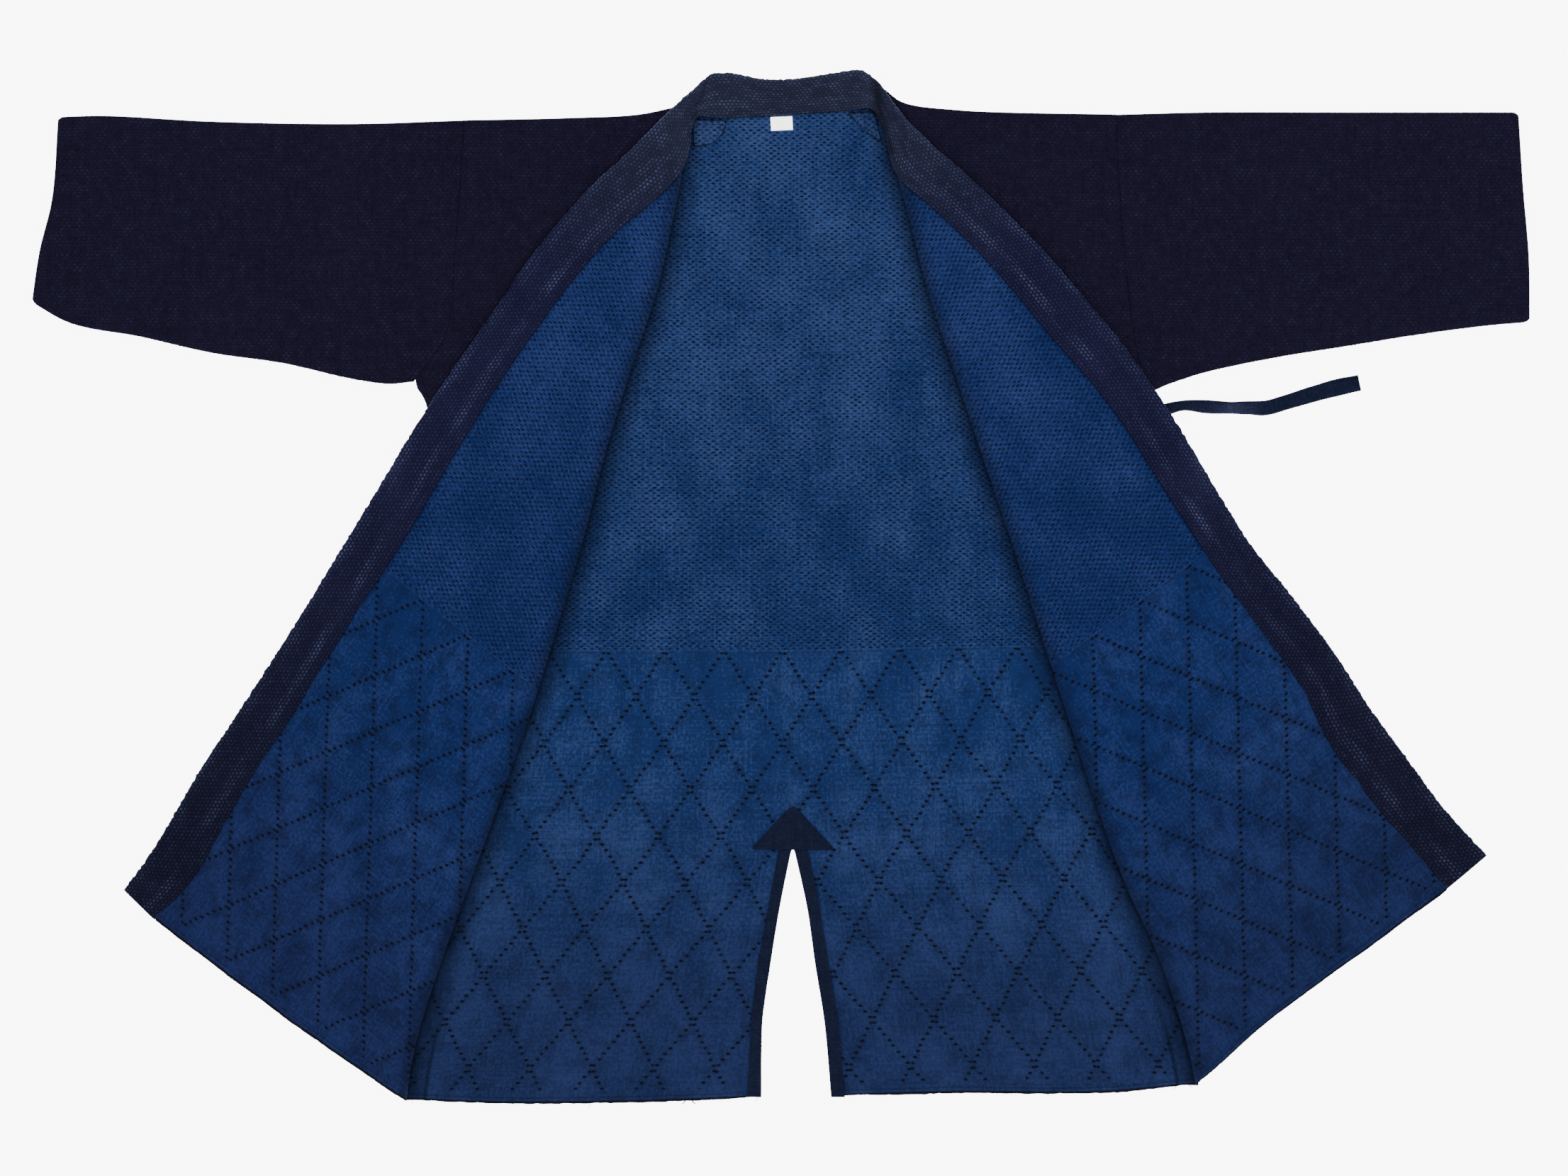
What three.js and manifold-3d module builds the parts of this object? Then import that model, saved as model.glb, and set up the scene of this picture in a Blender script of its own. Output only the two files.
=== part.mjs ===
// A sashiko stitched cotton jacket, laid open flat on a surface with its inside up.
//
// Millimetres. +Z is up and the surface is z = 0. +Y points to the neck and +X to the right, seen
// from above. The origin is on the underside of the back, at the middle of the jacket. Left and
// right are as seen from above.
//
// The back lies on the surface. Each front lies on the back from the shoulder line to a fold, and is
// turned back there, so that its inside shows and its outer part drops to the surface beside the
// body. One collar band runs from hem to hem along the turned fronts and round the neck.

import * as THREE from 'three';
import { mergeVertices } from 'three/addons/utils/BufferGeometryUtils.js';
import Module from 'manifold-3d';

// Cloth and its layers
const CLOTH = 2.4; // thickness of one layer of stitched cotton
const GAP = 0.3; // between layers
const SEAM_GAP = 0.4; // between neighbouring pieces along a seam, seen from above
const COLLAR_THICK = 5.2; // the band holds several layers
const COLLAR_CROWN = 0.7; // how much thicker it is along its middle
const PATCH = 1.2; // neck patches
const BINDING = 1.4; // vent bindings and the patch over the vent
const LABEL = 0.6;

// The diamond quilting on the lower part of the back and fronts
const QUILT = { width: 51.3, height: 81.2, rise: 1.0, fullness: 0.6, crossingX: 1.5, crossingY: -135 };
const QUILT_TOP = QUILT.crossingY + QUILT.height;
const CELL_WIDTH = QUILT.width / 4;
const CELL_HEIGHT = QUILT.height / 4;
const BED_RAMP = 2 * CELL_HEIGHT; // the layers above rise onto the quilting over this length

// The turned fronts leave the body at its side and come down to the surface
const DROP_START = 14;
const DROP_LENGTH = 36;
const FRONT_TURN = { left: -32.6, right: 32.6 }; // degrees that folding turns the grain of the cloth
const QUILT_EDGE = { left: { x: -224, y: -78 }, right: { x: 247, y: -63 } }; // its end at the fold

// The fold of each front: a soft roll
const ROLL_WIDTH = 30;
const ROLL_OVERLAP = 4;
const ROLL_LEAST_ARM = 8;
const ROLL_CLEAR = 2; // room left outside the fold where the roll is trimmed

// Blocks and prisms that cut the layers reach from here to there
const LOW_END = -20;
const HIGH_END = 60;

const COLLAR_STEP = 24; // along the band
const EDGE_STEP = 26; // along the other outlines

// Shoulder lines, from the neck to the sleeve
const SHOULDER = {
  left: [{ x: -90, y: 421 }, { x: -125, y: 414 }, { x: -187, y: 411 }, { x: -277, y: 409 }],
  right: [{ x: 91, y: 436 }, { x: 106, y: 425 }, { x: 154, y: 418 }, { x: 294, y: 414 }],
};

// Side seams, from the armpit to the hem
const SIDE = {
  left: [{ x: -321, y: 180 }, { x: -309, y: 158 }, { x: -317, y: -150 }, { x: -325, y: -447 }],
  right: [{ x: 321, y: 170 }, { x: 326, y: 150 }, { x: 344, y: -150 }, { x: 361, y: -434 }],
};

// Hem of the back, from each side to the vent
const HEM = {
  left: [{ x: -325, y: -447 }, { x: -249, y: -450 }, { x: -125, y: -449 }, { x: -17, y: -445 }],
  right: [{ x: 361, y: -434 }, { x: 278, y: -441 }, { x: 154, y: -441 }, { x: 44, y: -444 }],
};

// Hem of each turned front, from the fold to the collar
const FRONT_HEM = {
  left: [{ x: -326, y: -448 }, { x: -404, y: -396 }, { x: -466, y: -351 }, { x: -546, y: -290 }],
  right: [{ x: 362, y: -435 }, { x: 433, y: -374 }, { x: 495, y: -328 }, { x: 582, y: -263 }],
};

// Fold of each front, from the neck to the hem, with the height of its roll above the layers below
const FOLD = {
  left: [
    { x: -86, y: 372, height: 10.4 }, { x: -91, y: 341, height: 10.2 }, { x: -106, y: 267, height: 9.6 },
    { x: -130, y: 193, height: 9.2 }, { x: -153, y: 118, height: 9.4 }, { x: -172, y: 44, height: 8.8 },
    { x: -194, y: -31, height: 9.1 }, { x: -217, y: -105, height: 8.7 }, { x: -243, y: -179, height: 9.0 },
    { x: -270, y: -254, height: 8.6 }, { x: -297, y: -328, height: 8.7 }, { x: -319, y: -400, height: 8.4 },
    { x: -328, y: -456, height: 8.2 },
  ],
  right: [
    { x: 97, y: 378, height: 10.6 }, { x: 108, y: 341, height: 10.0 }, { x: 126, y: 267, height: 9.7 },
    { x: 150, y: 193, height: 9.0 }, { x: 175, y: 118, height: 9.3 }, { x: 200, y: 44, height: 8.9 },
    { x: 224, y: -31, height: 9.2 }, { x: 248, y: -105, height: 8.8 }, { x: 272, y: -179, height: 8.9 },
    { x: 299, y: -254, height: 8.7 }, { x: 332, y: -328, height: 8.6 }, { x: 355, y: -400, height: 8.4 },
    { x: 364, y: -444, height: 8.2 },
  ],
};

// Each sleeve: its top fold and bottom seam run from the armhole to the cuff, its armhole and cuff
// from the top fold to the bottom seam
const SLEEVE = {
  left: {
    top: [
      { x: -277, y: 409 }, { x: -373, y: 406 }, { x: -497, y: 408 }, { x: -590, y: 413 }, { x: -631, y: 412 },
    ],
    bottom: [
      { x: -321, y: 181 }, { x: -342, y: 179 }, { x: -373, y: 183 }, { x: -435, y: 197 }, { x: -497, y: 206 },
      { x: -559, y: 220 }, { x: -621, y: 232 }, { x: -654, y: 250 },
    ],
    armhole: [
      { x: -277, y: 409 }, { x: -280, y: 360 }, { x: -284, y: 310 }, { x: -291, y: 228 }, { x: -302, y: 206 },
      { x: -321, y: 181 },
    ],
    cuff: [{ x: -631, y: 412 }, { x: -636, y: 341 }, { x: -647, y: 295 }, { x: -654, y: 250 }],
  },
  right: {
    top: [{ x: 294, y: 414 }, { x: 371, y: 416 }, { x: 495, y: 416 }, { x: 619, y: 416 }, { x: 644, y: 416 }],
    bottom: [
      { x: 321, y: 171 }, { x: 340, y: 179 }, { x: 371, y: 189 }, { x: 433, y: 202 }, { x: 495, y: 212 },
      { x: 557, y: 222 }, { x: 619, y: 230 }, { x: 654, y: 233 },
    ],
    armhole: [
      { x: 294, y: 414 }, { x: 295, y: 370 }, { x: 303, y: 267 }, { x: 312, y: 205 }, { x: 321, y: 171 },
    ],
    cuff: [{ x: 644, y: 416 }, { x: 648, y: 350 }, { x: 653, y: 290 }, { x: 654, y: 233 }],
  },
};

// Soft ridges on the sleeves: where along the sleeve they cross its top fold and its bottom seam,
// as shares of its length, how high they rise and how wide they are
const SLEEVE_RIDGES = {
  left: [
    { top: 0.22, bottom: 0.12, rise: 1.5, width: 0.07 }, { top: 0.5, bottom: 0.62, rise: 1.1, width: 0.09 },
    { top: 0.84, bottom: 0.78, rise: 1.3, width: 0.06 },
  ],
  right: [
    { top: 0.2, bottom: 0.3, rise: 1.2, width: 0.08 }, { top: 0.47, bottom: 0.4, rise: 1.5, width: 0.07 },
    { top: 0.74, bottom: 0.83, rise: 1.0, width: 0.09 },
  ],
};
const SLEEVE_PUFF = 1.4; // how far the upper side of a sleeve stands above a flat one
const SLEEVE_SECTIONS = 14;
const SLEEVE_LINES = 9;

// The collar band from the left hem round the neck to the right hem. A row gives its inner edge, at
// the seam, its outer edge, and whether it lies on the layers of the front (1) or on the surface (0)
const COLLAR = [
  { innerX: -547, innerY: -289, outerX: -574, outerY: -263, lift: 1 },
  { innerX: -514, innerY: -254, outerX: -550, outerY: -230, lift: 1 },
  { innerX: -471, innerY: -179, outerX: -506, outerY: -156, lift: 1 },
  { innerX: -423, innerY: -105, outerX: -457, outerY: -82, lift: 1 },
  { innerX: -377, innerY: -31, outerX: -411, outerY: -9, lift: 1 },
  { innerX: -328, innerY: 44, outerX: -364, outerY: 68, lift: 1 },
  { innerX: -284, innerY: 118, outerX: -319, outerY: 141, lift: 1 },
  { innerX: -253, innerY: 168, outerX: -289, outerY: 187, lift: 1 },
  { innerX: -220, innerY: 217, outerX: -254, outerY: 237, lift: 1 },
  { innerX: -183, innerY: 267, outerX: -217, outerY: 291, lift: 1 },
  { innerX: -147, innerY: 308, outerX: -175, outerY: 341, lift: 1 },
  { innerX: -122, innerY: 329, outerX: -153, outerY: 363, lift: 1 },
  { innerX: -100, innerY: 348, outerX: -133, outerY: 381, lift: 1 },
  { innerX: -85, innerY: 366, outerX: -118, outerY: 396, lift: 1 },
  { innerX: -79, innerY: 385, outerX: -104, outerY: 410, lift: 1 },
  { innerX: -77, innerY: 402, outerX: -90, outerY: 424, lift: 1 },
  { innerX: -72, innerY: 411.5, outerX: -76, outerY: 436, lift: 1 },
  { innerX: -58, innerY: 411, outerX: -62, outerY: 449, lift: 0 },
  { innerX: -44, innerY: 411, outerX: -48, outerY: 451, lift: 0 },
  { innerX: -10, innerY: 413, outerX: -12, outerY: 445, lift: 0 },
  { innerX: 24, innerY: 415, outerX: 24, outerY: 447, lift: 0 },
  { innerX: 52, innerY: 417, outerX: 54, outerY: 452, lift: 0 },
  { innerX: 66, innerY: 418, outerX: 70, outerY: 453, lift: 0 },
  { innerX: 79, innerY: 418.5, outerX: 84, outerY: 443, lift: 1 },
  { innerX: 87, innerY: 407, outerX: 98, outerY: 425, lift: 1 },
  { innerX: 92, innerY: 390, outerX: 109, outerY: 410, lift: 1 },
  { innerX: 98, innerY: 366, outerX: 122, outerY: 397, lift: 1 },
  { innerX: 108, innerY: 352, outerX: 139, outerY: 381, lift: 1 },
  { innerX: 129, innerY: 335, outerX: 160, outerY: 363, lift: 1 },
  { innerX: 174, innerY: 292, outerX: 205, outerY: 320, lift: 1 },
  { innerX: 206, innerY: 256, outerX: 239, outerY: 284, lift: 1 },
  { innerX: 238, innerY: 217, outerX: 274, outerY: 243, lift: 1 },
  { innerX: 270, innerY: 181, outerX: 304, outerY: 206, lift: 1 },
  { innerX: 299, innerY: 143, outerX: 332, outerY: 165, lift: 1 },
  { innerX: 326, innerY: 100, outerX: 360, outerY: 121, lift: 1 },
  { innerX: 346, innerY: 69, outerX: 379, outerY: 89, lift: 1 },
  { innerX: 379, innerY: 19, outerX: 411, outerY: 38, lift: 1 },
  { innerX: 415, innerY: -31, outerX: 447, outerY: -7, lift: 1 },
  { innerX: 451, innerY: -80, outerX: 485, outerY: -58, lift: 1 },
  { innerX: 479, innerY: -134, outerX: 514, outerY: -103, lift: 1 },
  { innerX: 511, innerY: -179, outerX: 549, outerY: -151, lift: 1 },
  { innerX: 545, innerY: -219, outerX: 582, outerY: -195, lift: 1 },
  { innerX: 582, innerY: -262, outerX: 617, outerY: -233, lift: 1 },
];

// The vent in the back hem and its bindings, from the top to the hem
const VENT = [
  { y: -229, left: 9, right: 12, boundLeft: -2, boundRight: 24 },
  { y: -279, left: -1, right: 23, boundLeft: -11, boundRight: 34 },
  { y: -328, left: -9, right: 30, boundLeft: -20, boundRight: 42 },
  { y: -378, left: -16, right: 38, boundLeft: -26, boundRight: 50 },
  { y: -444, left: -17, right: 44, boundLeft: -29, boundRight: 56 },
];
const VENT_PATCH = [
  { x: 6, y: -193 }, { x: 10.5, y: -190.5 }, { x: 15, y: -193 }, { x: 46, y: -228 }, { x: -24, y: -225.5 },
];

const NECK_PATCH = {
  left: [{ x: -77, y: 410 }, { x: -47, y: 409 }, { x: -51, y: 397 }, { x: -60, y: 389 }, { x: -76, y: 386 }],
  right: [{ x: 59, y: 416 }, { x: 82, y: 417 }, { x: 88, y: 390 }, { x: 71, y: 402 }],
};
const NECK_LABEL = [{ x: -9, y: 412 }, { x: 10, y: 412.8 }, { x: 10.5, y: 401 }, { x: -8.5, y: 400.2 }];

// The tie, from the side seam to its free end: middle line, height of its middle, width and roll
const TIE_THICK = 1.6;
const TIE_STEPS = 22;
const TIE = [
  { x: 325.5, y: 153, z: 0.8, width: 12, roll: 0 }, { x: 351, y: 160, z: 0.9, width: 9, roll: 14 },
  { x: 372, y: 159, z: 2.4, width: 12, roll: 20 }, { x: 392, y: 158, z: 4.8, width: 13, roll: 42 },
  { x: 409, y: 158, z: 3.6, width: 13, roll: 30 }, { x: 424, y: 158, z: 1.8, width: 13, roll: 8 },
  { x: 442, y: 163, z: 0.9, width: 13, roll: 0 }, { x: 465, y: 170, z: 0.8, width: 14, roll: 0 },
  { x: 487, y: 176, z: 0.8, width: 15, roll: 0 }, { x: 506, y: 180, z: 0.8, width: 14, roll: 0 },
];

const wasm = await Module();
wasm.setup();

// Solids

function toSolid(geometry) {
  geometry.deleteAttribute('normal');
  geometry.deleteAttribute('uv');
  const merged = mergeVertices(geometry, 1e-4);
  const vertProperties = Float32Array.from(merged.attributes.position.array);
  const triVerts = Uint32Array.from(merged.index.array);
  return new wasm.Manifold(new wasm.Mesh({ numProp: 3, vertProperties, triVerts }));
}

function toGeometry(solid) {
  const mesh = solid.getMesh();
  const geometry = new THREE.BufferGeometry();
  geometry.setAttribute('position', new THREE.BufferAttribute(mesh.vertProperties, 3));
  geometry.setIndex(new THREE.BufferAttribute(mesh.triVerts, 1));
  return geometry;
}

function fromLists(positions, indices) {
  const geometry = new THREE.BufferGeometry();
  geometry.setAttribute('position', new THREE.Float32BufferAttribute(positions.flat(), 3));
  geometry.setIndex(indices);
  return geometry;
}

// A prism over an outline, tall enough to cut every layer
function prism(outline, low = LOW_END) {
  const shape = new THREE.Shape(outline.map(({ x, y }) => new THREE.Vector2(x, y)));
  const geometry = new THREE.ExtrudeGeometry(shape, { depth: HIGH_END - low, bevelEnabled: false });
  return toSolid(geometry.translate(0, 0, low));
}

// A solid through closed rings of points, with a cap at each end. The section gives the points of a
// ring in its own plane.
function sweep(rings, section) {
  const count = rings[0].length;
  const indices = [];
  for (let i = 0; i < rings.length - 1; i += 1) {
    for (let j = 0; j < count; j += 1) {
      const next = (j + 1) % count;
      const [a, b] = [i * count + j, i * count + next];
      indices.push(a, a + count, b, b, a + count, b + count);
    }
  }
  const flat = section.map(([u, v]) => new THREE.Vector2(u, v));
  const turn = Math.sign(THREE.ShapeUtils.area(flat));
  const last = (rings.length - 1) * count;
  for (const face of THREE.ShapeUtils.triangulateShape(flat, [])) {
    const follows = Math.sign(THREE.ShapeUtils.area(face.map((k) => flat[k]))) === turn;
    const [a, b, c] = follows ? face : [...face].reverse();
    indices.push(a, b, c, last + a, last + c, last + b);
  }
  return outward(fromLists(rings.flat(), indices));
}

// Turns a closed mesh the right way out
function outward(geometry) {
  const position = geometry.attributes.position;
  const index = geometry.index.array;
  const [a, b, c] = [new THREE.Vector3(), new THREE.Vector3(), new THREE.Vector3()];
  let volume = 0;
  for (let i = 0; i < index.length; i += 3) {
    a.fromBufferAttribute(position, index[i]);
    b.fromBufferAttribute(position, index[i + 1]);
    c.fromBufferAttribute(position, index[i + 2]);
    volume += a.dot(b.cross(c));
  }
  if (volume < 0) {
    geometry.setIndex(Array.from(index).reverse());
  }
  return geometry;
}

// Outlines

function curveThrough(rows) {
  return new THREE.CatmullRomCurve3(rows.map(({ x, y }) => new THREE.Vector3(x, y, 0)));
}

function along(rows, step = EDGE_STEP) {
  const curve = curveThrough(rows);
  return curve.getSpacedPoints(Math.max(2, Math.round(curve.getLength() / step)));
}

function shift(points, dx, dy) {
  return points.map(({ x, y }) => new THREE.Vector2(x + dx, y + dy));
}

// Moves a line of points sideways, to its left as it runs
function beside(points, distance) {
  return points.map((point, i) => {
    const before = points[Math.max(0, i - 1)];
    const after = points[Math.min(points.length - 1, i + 1)];
    const run = new THREE.Vector2(after.x - before.x, after.y - before.y).normalize();
    return new THREE.Vector2(point.x - run.y * distance, point.y + run.x * distance);
  });
}

function smooth(value) {
  const t = THREE.MathUtils.clamp(value, 0, 1);
  return t * t * (3 - 2 * t);
}

function isInside(outline, x, y) {
  let inside = false;
  for (let i = 0, j = outline.length - 1; i < outline.length; j = i, i += 1) {
    const [a, b] = [outline[i], outline[j]];
    if (a.y > y !== b.y > y && x < ((b.x - a.x) * (y - a.y)) / (b.y - a.y) + a.x) {
      inside = !inside;
    }
  }
  return inside;
}

// How far a point lies outside an outline, or 0 inside it
function distanceOutside(outline, x, y) {
  if (isInside(outline, x, y)) {
    return 0;
  }
  let least = Infinity;
  for (let i = 0, j = outline.length - 1; i < outline.length; j = i, i += 1) {
    const [a, b] = [outline[j], outline[i]];
    const [dx, dy] = [b.x - a.x, b.y - a.y];
    const squared = dx * dx + dy * dy || 1;
    const share = THREE.MathUtils.clamp(((x - a.x) * dx + (y - a.y) * dy) / squared, 0, 1);
    least = Math.min(least, Math.hypot(x - a.x - share * dx, y - a.y - share * dy));
  }
  return least;
}

// Heights

// Diamonds with their crossings on whole numbers of u / width + v / height and of their difference
function pillow(u, v) {
  const rising = Math.abs(Math.sin(Math.PI * (u / QUILT.width + v / QUILT.height)));
  const falling = Math.abs(Math.sin(Math.PI * (u / QUILT.width - v / QUILT.height)));
  return QUILT.rise * (rising * falling) ** QUILT.fullness;
}

// What the layers on the back are raised by, to lie on its quilting
function bed(y) {
  return QUILT.rise * smooth((QUILT_TOP + BED_RAMP - y) / BED_RAMP);
}

// Where the lines of a sleeve's wall run, as shares of the way from its top fold to its bottom seam:
// closest at the two edges, where the wall turns
const sleeveLines = Array.from({ length: SLEEVE_LINES }, (_, k) => {
  return 0.5 - 0.5 * Math.cos((Math.PI * (k + 0.5)) / SLEEVE_LINES);
});

// The seam between body and sleeve has its points where these lines end
function armholeOf(side) {
  const curve = curveThrough(SLEEVE[side].armhole);
  return [0, ...sleeveLines, 1].map((share) => curve.getPointAt(share));
}

const armholes = { left: armholeOf('left'), right: armholeOf('right') };

// What the fronts and the collar lie on: the body with its own fronts, and the inner part of the
// sleeves
const underlay = [
  ...along(SHOULDER.right).slice(0, -1),
  ...along(SLEEVE.right.top),
  ...along(SLEEVE.right.bottom).reverse(),
  ...along(SIDE.right).slice(1),
  ...along(HEM.left).reverse(),
  ...along(SIDE.left).reverse().slice(0, -1),
  ...along(SLEEVE.left.bottom),
  ...along(SLEEVE.left.top).reverse(),
  ...along(SHOULDER.left).reverse().slice(1),
];

// Height of the lowest point that a turned front or the collar can have over a place
function support(x, y) {
  const outside = distanceOutside(underlay, x, y);
  const onBody = 2 * (CLOTH + GAP) + bed(y);
  return onBody * (1 - smooth((outside - DROP_START) / DROP_LENGTH));
}

// Panels

// Where the grain of a piece of cloth lies: its quilting grid starts at (x, y) and is turned
function grain(x, y, degrees) {
  const turn = THREE.MathUtils.degToRad(degrees);
  const [cos, sin] = [Math.cos(turn), Math.sin(turn)];
  return {
    toCloth: (px, py) => [(px - x) * cos + (py - y) * sin, (y - py) * -cos - (px - x) * sin],
    toPlace: (u, v) => [x + u * cos - v * sin, y + u * sin + v * cos],
  };
}

const uprightGrain = grain(QUILT.crossingX, QUILT.crossingY, 0);

// Grids for the faces of a layer, in cells: the quilted rows, which reach up to plainFrom, and the
// plain rows above them
const QUILTED_TOP = { column: 1, row: 1, plainFrom: 4, plainRow: 40 };
const TURNED_TOP = { column: 1, row: 1, plainFrom: 0, plainRow: 2 };
const TURNED_BOTTOM = { column: 2, row: 2, plainFrom: 0, plainRow: 2 };
const HIDDEN = { column: 8, row: 8, plainFrom: 4, plainRow: 2 };

function gridLines(cloth, axis, cell, lineStep, plainFrom = Infinity, plainStep = 1) {
  const values = cloth.map((point) => point[axis] / cell);
  const lowest = Math.min(...values) - 1;
  const highest = Math.max(...values) + 1;
  const anchor = Number.isFinite(plainFrom) ? plainFrom : 0;
  let line = anchor;
  while (line > lowest) line -= lineStep;
  const lines = [line];
  while (line < highest) {
    line += line >= plainFrom ? plainStep : lineStep;
    lines.push(line);
  }
  return lines;
}

// A block over the whole of an outline's grid, with a face of varying height and a flat far face.
// The diagonals of the grid follow the lines of the quilting.
function block(outline, frame, grid, heightOf, farZ) {
  const cloth = outline.map(({ x, y }) => frame.toCloth(x, y));
  const columns = gridLines(cloth, 0, CELL_WIDTH, grid.column);
  const rows = gridLines(cloth, 1, CELL_HEIGHT, grid.row, grid.plainFrom, grid.plainRow);
  const positions = [];
  for (const j of rows) {
    for (const i of columns) {
      const [u, v] = [i * CELL_WIDTH, j * CELL_HEIGHT];
      const [x, y] = frame.toPlace(u, v);
      positions.push([x, y, heightOf(x, y, u, v)]);
    }
  }
  const width = columns.length;
  const indices = [];
  for (let j = 0; j < rows.length - 1; j += 1) {
    for (let i = 0; i < width - 1; i += 1) {
      const [a, b] = [j * width + i, j * width + i + 1];
      const [c, d] = [a + width, b + width];
      const alongFallingLine = (((columns[i] + rows[j] + 1) % 4) + 4) % 4 === 0;
      indices.push(...(alongFallingLine ? [a, b, c, b, d, c] : [a, b, d, a, d, c]));
    }
  }
  const rim = [];
  for (let i = 0; i < width - 1; i += 1) rim.push(i);
  for (let j = 0; j < rows.length - 1; j += 1) rim.push(j * width + width - 1);
  for (let i = width - 1; i > 0; i -= 1) rim.push((rows.length - 1) * width + i);
  for (let j = rows.length - 1; j > 0; j -= 1) rim.push(j * width);
  const farRim = positions.length;
  for (const corner of rim) {
    const [x, y] = positions[corner];
    positions.push([x, y, farZ]);
  }
  const farMiddle = positions.length;
  const [firstX, firstY] = positions[0];
  const [lastX, lastY] = positions[farRim - 1];
  positions.push([(firstX + lastX) / 2, (firstY + lastY) / 2, farZ]);
  rim.forEach((a, k) => {
    const next = (k + 1) % rim.length;
    indices.push(a, farRim + k, rim[next], rim[next], farRim + k, farRim + next);
    indices.push(farRim + k, farMiddle, farRim + next);
  });
  return toSolid(outward(fromLists(positions, indices)));
}

// A layer of cloth over an outline, between a face below and a face above
function layer(outline, frame, above, below) {
  const upper = block(outline, frame, above.grid, above.heightOf, LOW_END);
  if (!below) {
    return upper.intersect(prism(outline, 0));
  }
  const lower = block(outline, frame, below.grid, below.heightOf, HIGH_END);
  return upper.intersect(lower).intersect(prism(outline));
}

const collarStations = (() => {
  const innerCurve = curveThrough(COLLAR.map(({ innerX, innerY }) => ({ x: innerX, y: innerY })));
  const outerCurve = curveThrough(COLLAR.map(({ outerX, outerY }) => ({ x: outerX, y: outerY })));
  const stations = [];
  for (let i = 0; i < COLLAR.length - 1; i += 1) {
    const [row, next] = [COLLAR[i], COLLAR[i + 1]];
    const length = Math.hypot(next.outerX - row.outerX, next.outerY - row.outerY);
    const steps = Math.max(1, Math.round(length / COLLAR_STEP));
    for (let k = 0; k < steps; k += 1) {
      const share = (i + k / steps) / (COLLAR.length - 1);
      const lift = THREE.MathUtils.lerp(row.lift, next.lift, k / steps);
      stations.push({ inner: innerCurve.getPoint(share), outer: outerCurve.getPoint(share), lift });
    }
  }
  stations.push({ inner: innerCurve.getPoint(1), outer: outerCurve.getPoint(1), lift: 1 });
  return stations;
})();

const neckStations = collarStations.filter(({ lift }) => lift < 1);
const firstNeck = collarStations.indexOf(neckStations[0]);
const collarInner = {
  left: collarStations.slice(0, firstNeck).map(({ inner }) => inner).reverse(),
  right: collarStations.slice(firstNeck + neckStations.length).map(({ inner }) => inner),
};

function backOutline() {
  const neck = neckStations.map(({ inner }) => inner);
  return [
    { x: -80, y: neck[0].y - SEAM_GAP },
    ...shift(neck, 0, -SEAM_GAP),
    { x: 85, y: neck.at(-1).y - SEAM_GAP },
    ...along(SHOULDER.right).slice(1, -1),
    ...beside(armholes.right, -SEAM_GAP),
    ...along(SIDE.right).slice(1),
    ...along(HEM.right).slice(1, -1),
    ...VENT.map(({ y, right }) => ({ x: right, y })).reverse(),
    ...VENT.map(({ y, left }) => ({ x: left, y })),
    ...along(HEM.left).reverse().slice(1),
    ...along(SIDE.left).reverse().slice(1, -1),
    ...beside(armholes.left, SEAM_GAP).reverse(),
    ...along(SHOULDER.left).reverse().slice(1, -1),
  ];
}

function backTop(x, y, u, v) {
  return y < QUILT_TOP - CELL_HEIGHT / 2 ? CLOTH + pillow(u, v) : CLOTH;
}

function back() {
  return toGeometry(layer(backOutline(), uprightGrain, { grid: QUILTED_TOP, heightOf: backTop }));
}

// A piece that lies on the back, made from the same points, moved up
function onBack(outline, thickness) {
  const bottom = (...place) => backTop(...place) + GAP;
  const above = { grid: QUILTED_TOP, heightOf: (...place) => bottom(...place) + thickness };
  return layer(outline, uprightGrain, above, { grid: QUILTED_TOP, heightOf: bottom });
}

// The part of a front that lies on the back
function lowerFront(side) {
  const sign = side === 'left' ? 1 : -1;
  const foldLine = beside(along(FOLD[side]), -sign * ROLL_OVERLAP);
  const seam = along(SIDE[side]);
  const lowest = FOLD[side].at(-3).y;
  const outline = [
    ...along(SHOULDER[side]),
    ...beside(armholes[side], sign * SEAM_GAP).slice(1),
    ...seam.slice(1).filter(({ y }) => y > lowest),
    ...foldLine.filter(({ y }) => y > lowest).reverse(),
  ];
  const bottom = (x, y) => CLOTH + GAP + bed(y);
  const above = { grid: HIDDEN, heightOf: (x, y) => bottom(x, y) + CLOTH };
  return layer(outline, uprightGrain, above, { grid: HIDDEN, heightOf: bottom });
}

// A section of the roll at the fold, as distances from the fold and heights: a hook of cloth, open
// on the side away from the fold, with its lower arm as long as the front has room on the body
function rollSection(crown, arm) {
  const [low, lowTop] = [CLOTH + GAP, 2 * CLOTH + GAP];
  const [high, highTop] = [2 * (CLOTH + GAP), 3 * CLOTH + 2 * GAP];
  const slope = (crown + highTop) / 2;
  return [
    { out: arm, z: low }, { out: 4, z: low }, { out: 1.2, z: low + 0.8 }, { out: 0, z: lowTop },
    { out: 1.4, z: lowTop + 2.2 }, { out: 6, z: crown - 0.7 }, { out: 12, z: crown },
    { out: 21, z: slope }, { out: ROLL_WIDTH, z: highTop }, { out: ROLL_WIDTH, z: high },
    { out: 21, z: slope - CLOTH }, { out: 12, z: crown - CLOTH }, { out: 6.5, z: crown - CLOTH - 0.6 },
    { out: 3.4, z: lowTop + 0.5 }, { out: 4.4, z: lowTop }, { out: arm, z: lowTop },
  ];
}

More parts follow.
